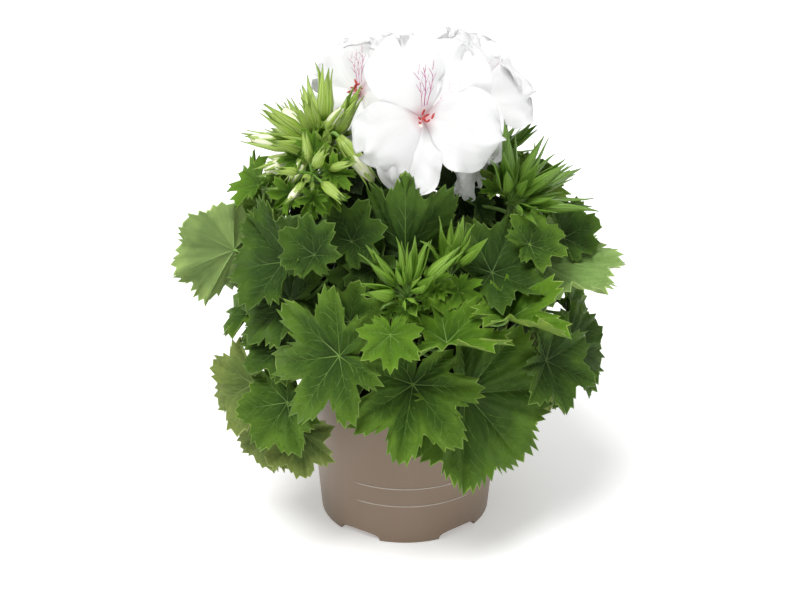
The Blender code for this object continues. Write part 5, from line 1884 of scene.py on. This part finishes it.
@dataclass
class Pot:
    """Nursery pot with a rim band, arched drain channels in its foot, and a plain printed band of two lines."""

    sides: int = 144
    arc_steps: int = 10
    line_heights: tuple[float, float] = (38 * MM, 26 * MM)
    line_turns: tuple[float, float] = (-34, 46)
    line_width: float = 0.8 * MM
    line_proud: float = 0.08 * MM
    line_depth: float = 0.3 * MM
    line_steps: int = 60

    def build(self) -> None:
        """Make the pot and its print."""
        pot = plain_object("pot_shell", lathe(self._profile(), self.sides))
        covers, cutters = [], []
        for turn in NOTCH_TURNS:
            covers.append(plain_object("cover", self._arch(
                turn, NOTCH_INNER_RADIUS - NOTCH_COVER, POT_FOOT_RADIUS - 0.6 * MM,
                NOTCH_HALF_WIDTH + NOTCH_COVER, NOTCH_HEIGHT + NOTCH_COVER, 0.5 * MM)))
            cutters.append(plain_object("channel", self._arch(
                turn, NOTCH_INNER_RADIUS, POT_RIM_RADIUS, NOTCH_HALF_WIDTH, NOTCH_HEIGHT, -1 * MM)))
            low = at(turn, DRAIN_DISTANCE, NOTCH_HEIGHT - 2 * MM)
            drain = coarse_tube([low, low + upward(DRAIN_HEIGHT)], [DRAIN_RADIUS] * 2, 24)
            cutters.append(plain_object("drain", drain))
        self._boolean(pot, "UNION", covers)
        self._boolean(pot, "DIFFERENCE", cutters)
        pot.data.materials.clear()
        pot.data.materials.append(PotFinish().material())
        pot.data.shade_smooth()
        pot.data.set_sharp_from_angle(angle=radians(32))
        settle(pot, ["pot"])
        lines = [self._line(height) for height in self.line_heights]
        lay("pot_print", lines, [PRINT_SKIN.material()], ["pot"])

    def _profile(self) -> list[tuple[float, float]]:
        """Half section of the pot, from the axis out under the floor, up the wall and back over the floor."""
        rim = POT_HEIGHT - POT_RIM_HEIGHT
        profile = [(0, 0), (POT_FOOT_RADIUS * 0.5, 0)]
        for i in range(5):
            a = pi / 2 * i / 4
            profile.append((POT_FOOT_RADIUS - POT_CHAMFER * (1 - sin(a)), POT_CHAMFER * (1 - cos(a))))
        heights = [POT_CHAMFER + (rim - POT_CHAMFER) * i / 6 for i in range(1, 7)]
        profile += [(wall_radius(height), height) for height in heights]
        for radius, height, corners in (
                (wall_radius(rim), rim, ((0.5, 0.1),)),
                (POT_RIM_RADIUS, rim, ((-0.5, 0.5), (-0.1, 1.2))),
                (POT_RIM_RADIUS, POT_HEIGHT, ((0, -1.0), (-0.2, -0.3), (-0.7, 0))),
                (POT_RIM_RADIUS - POT_WALL, POT_HEIGHT, ((0, -0.2), (-0.5, -1.0))),
                (wall_radius(rim) - POT_WALL, rim, ((0, -1),)),
                (wall_radius(POT_FLOOR) - POT_WALL, POT_FLOOR, ((0, 0),))):
            profile += [(radius + out * MM, height + up * MM) for out, up in corners]
        return profile + [(0, POT_FLOOR)]

    def _arch(self, turn: float, first: float, radius: float, half_width: float, height: float,
              foot: float) -> Coarse:
        """Closed arched bar along a turn, from a first distance out to a round wall of a given radius."""
        section = [(-half_width, foot)]
        for i in range(1, self.arc_steps):
            a = pi * (1 - i / self.arc_steps)
            section.append((half_width * cos(a), height * sin(a) ** 0.6))
        section.append((half_width, foot))
        level = heading(turn)
        side = Vector((-level.y, level.x, 0))
        section.reverse()
        return loft([[level * first + side * s + upward(z) for s, z in section],
                     [level * sqrt(radius ** 2 - s * s) + side * s + upward(z) for s, z in section]])

    def _boolean(self, body: Piece, operation: str, pieces: list[Piece]) -> None:
        """Apply one Boolean of several pieces to a body and remove the pieces."""
        gathered = bpy.data.collections.new("pot_pieces")
        bpy.context.scene.collection.children.link(gathered)
        for piece in pieces:
            bpy.context.scene.collection.objects.unlink(piece)
            gathered.objects.link(piece)
        modifier = body.modifiers.new("Boolean", "BOOLEAN")
        modifier.operation = operation
        modifier.solver = "MANIFOLD"
        modifier.operand_type = "COLLECTION"
        modifier.collection = gathered
        mesh = bpy.data.meshes.new_from_object(body.evaluated_get(bpy.context.evaluated_depsgraph_get()))
        body.modifiers.remove(modifier)
        body.data = mesh
        for piece in pieces:
            bpy.data.objects.remove(piece)
        bpy.data.collections.remove(gathered)

    def _line(self, height: float) -> Shape:
        """Thin closed strip of pale print round part of the wall."""
        rings = []
        for i in range(self.line_steps + 1):
            share = i / self.line_steps
            turn = self.line_turns[0] + (self.line_turns[1] - self.line_turns[0]) * share
            half = self.line_width / 2 * min(1.0, 12 * share + 0.15, 12 * (1 - share) + 0.15)
            corners = ((-half, -self.line_depth), (half, -self.line_depth),
                       (half, self.line_proud), (-half, self.line_proud))
            rings.append([at(turn, wall_radius(height + up) + out, height + up) for up, out in corners])
        points, faces = loft(rings)
        return Shape.plain(np.array(points), faces)


@dataclass
class Compost:
    """Plug of compost with a rough top, strewn with lumps, each kind by its density, size, seed and skin."""

    rings: int = 30
    sides: int = 96
    dome: float = 2.0 * MM
    edge_drop: float = 2.2 * MM
    rough_depth: float = 2.1 * MM
    rough_from: float = 11 * MM
    rough_heights: tuple[float, float] = (-0.9, 0.5)
    strewn: tuple = (("compost_crumbs", 90000.0, 0.9 * MM, 3, CRUMB_SKIN),
                     ("compost_grit", 5000.0, 0.8 * MM, 8, GRIT_SKIN))

    def build(self, scatter: Scatter) -> None:
        """Make the plug, its crumbs and its grit."""
        inner = POT_WALL + GAP + 0.2 * MM
        foot = wall_radius(COMPOST_BOTTOM) - inner
        top = wall_radius(COMPOST_TOP) - inner
        profile = [(0, COMPOST_BOTTOM), (foot, COMPOST_BOTTOM), (top, COMPOST_TOP - self.edge_drop)]
        for i in range(1, self.rings):
            share = 1 - i / self.rings
            profile.append((top * share, COMPOST_TOP - self.dome * share ** 2))
        profile.append((0, COMPOST_TOP))
        verts, faces = lathe(profile, self.sides)
        draw = np.random.default_rng(SEED)
        for vert in verts:
            if vert.z > COMPOST_TOP - self.rough_depth and vert.to_2d().length > self.rough_from:
                vert.z += float(draw.uniform(*self.rough_heights)) * MM
        plug = plain_object("compost_plug", (verts, faces))
        plug.data.materials.append(PEAT_SKIN.material())
        settle(plug, ["compost"])
        # Plain ground a little under the rough top, on which the lumps stand
        points, faces = lathe([(0, COMPOST_TOP - 1.4 * MM), (top - 2 * MM, COMPOST_TOP - 2.6 * MM),
                               (12 * MM, COMPOST_TOP - 0.3 * MM), (0, COMPOST_TOP - 0.3 * MM)], 48)
        uppermost = [face for i, face in enumerate(faces) if i % 3]
        for name, density, size, seed, skin in self.strewn:
            mesh = bpy.data.meshes.new(name + "_ground")
            mesh.from_pydata([tuple(v) for v in points], [], uppermost)
            lumps = scatter.grown(name, mesh, skin.material(), Density=density, Size=size, Seed=seed)
            settle(lumps, ["compost"])


@dataclass
class Studio:
    """Plain pale floor, soft light and the camera at the photograph's angle."""

    elevation: float = 24.0
    distance: float = 1.0
    target: tuple[float, float, float] = (-0.003, 0.0, 0.1335)
    lens: float = 77.5
    floor_colour: Colour = (0.9, 0.9, 0.9)
    floor_patches: Colour = (0.92, 0.92, 0.92)
    floor_glow: float = 0.32
    floor_reach: float = 6.0
    sky: float = 0.45
    suns: tuple = (("key", (-0.28, -0.48, 1.0), 26.0, 2.5), ("top", (0.15, 0.1, 1.0), 70.0, 0.5))

    def build(self) -> None:
        """Set up the floor, the lights, the world and the camera."""
        self._floor()
        for sun in self.suns:
            self._light(*sun)
        world = bpy.data.worlds.new("white_studio")
        world.use_nodes = True
        sky = world.node_tree.nodes["Background"].inputs
        sky["Color"].default_value = (1, 1, 1, 1)
        sky["Strength"].default_value = self.sky
        scene = bpy.context.scene
        scene.world = world
        scene.view_settings.view_transform = "Standard"
        scene.view_settings.look = "None"
        self._camera()

    def _floor(self) -> None:
        """Wide pale floor."""
        shader = Shader("floor_white", self.floor_colour, 0.9)
        spread = shader.noise(shader.object_place(), 3.0, 2)
        shader.feed("Base Color", shader.blend(spread, self.floor_colour, self.floor_patches))
        shader.set("Emission Color", (1, 1, 1, 1))
        shader.set("Emission Strength", self.floor_glow)
        size = self.floor_reach
        corners = [(-size, -size, 0), (size, -size, 0), (size, size, 0), (-size, size, 0)]
        floor = plain_object("floor", (corners, [(0, 1, 2, 3)]))
        floor.data.materials.append(shader.material)

    def _light(self, name: str, source: tuple[float, float, float], spread: float, power: float) -> None:
        """Far soft light from a direction, with its spread in degrees."""
        light = bpy.data.lights.new(name, "SUN")
        light.angle = radians(spread)
        light.energy = power
        self._aim(linked(name, light), Vector(source), -Vector(source))

    def _aim(self, obj: Piece, place: Vector, direction: Vector) -> None:
        """Put a light or a camera at a place, looking along a direction."""
        obj.location = place
        obj.rotation_euler = direction.to_track_quat("-Z", "Y").to_euler()

    def _camera(self) -> None:
        """Camera that looks down at the plant as the photograph does."""
        e = radians(self.elevation)
        forward = Vector((0, cos(e), -sin(e)))
        camera = bpy.data.cameras.new("camera")
        camera.lens = self.lens
        camera.sensor_width = 36.0
        bpy.context.scene.camera = obj = linked("camera", camera)
        self._aim(obj, Vector(self.target) - forward * self.distance, forward)


def main() -> None:
    """Build every sub-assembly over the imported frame, in order."""
    logging.basicConfig(level=logging.INFO, format="%(name)s: %(message)s")
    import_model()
    Studio().build()
    growth = Growth()
    LOG.info("leaves: %d of %d in all", growth.main_leaves, len(growth.grown))
    thin, round_sweep = Sweep(3), Sweep(10)
    Pot().build()
    Compost().build(Scatter())
    Wood(growth).build()
    Foliage(growth).build(thin, round_sweep)
    BudHeads(growth).build(round_sweep)
    FlowerHead().build(round_sweep, thin)
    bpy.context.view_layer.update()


if __name__ == "__main__":
    main()
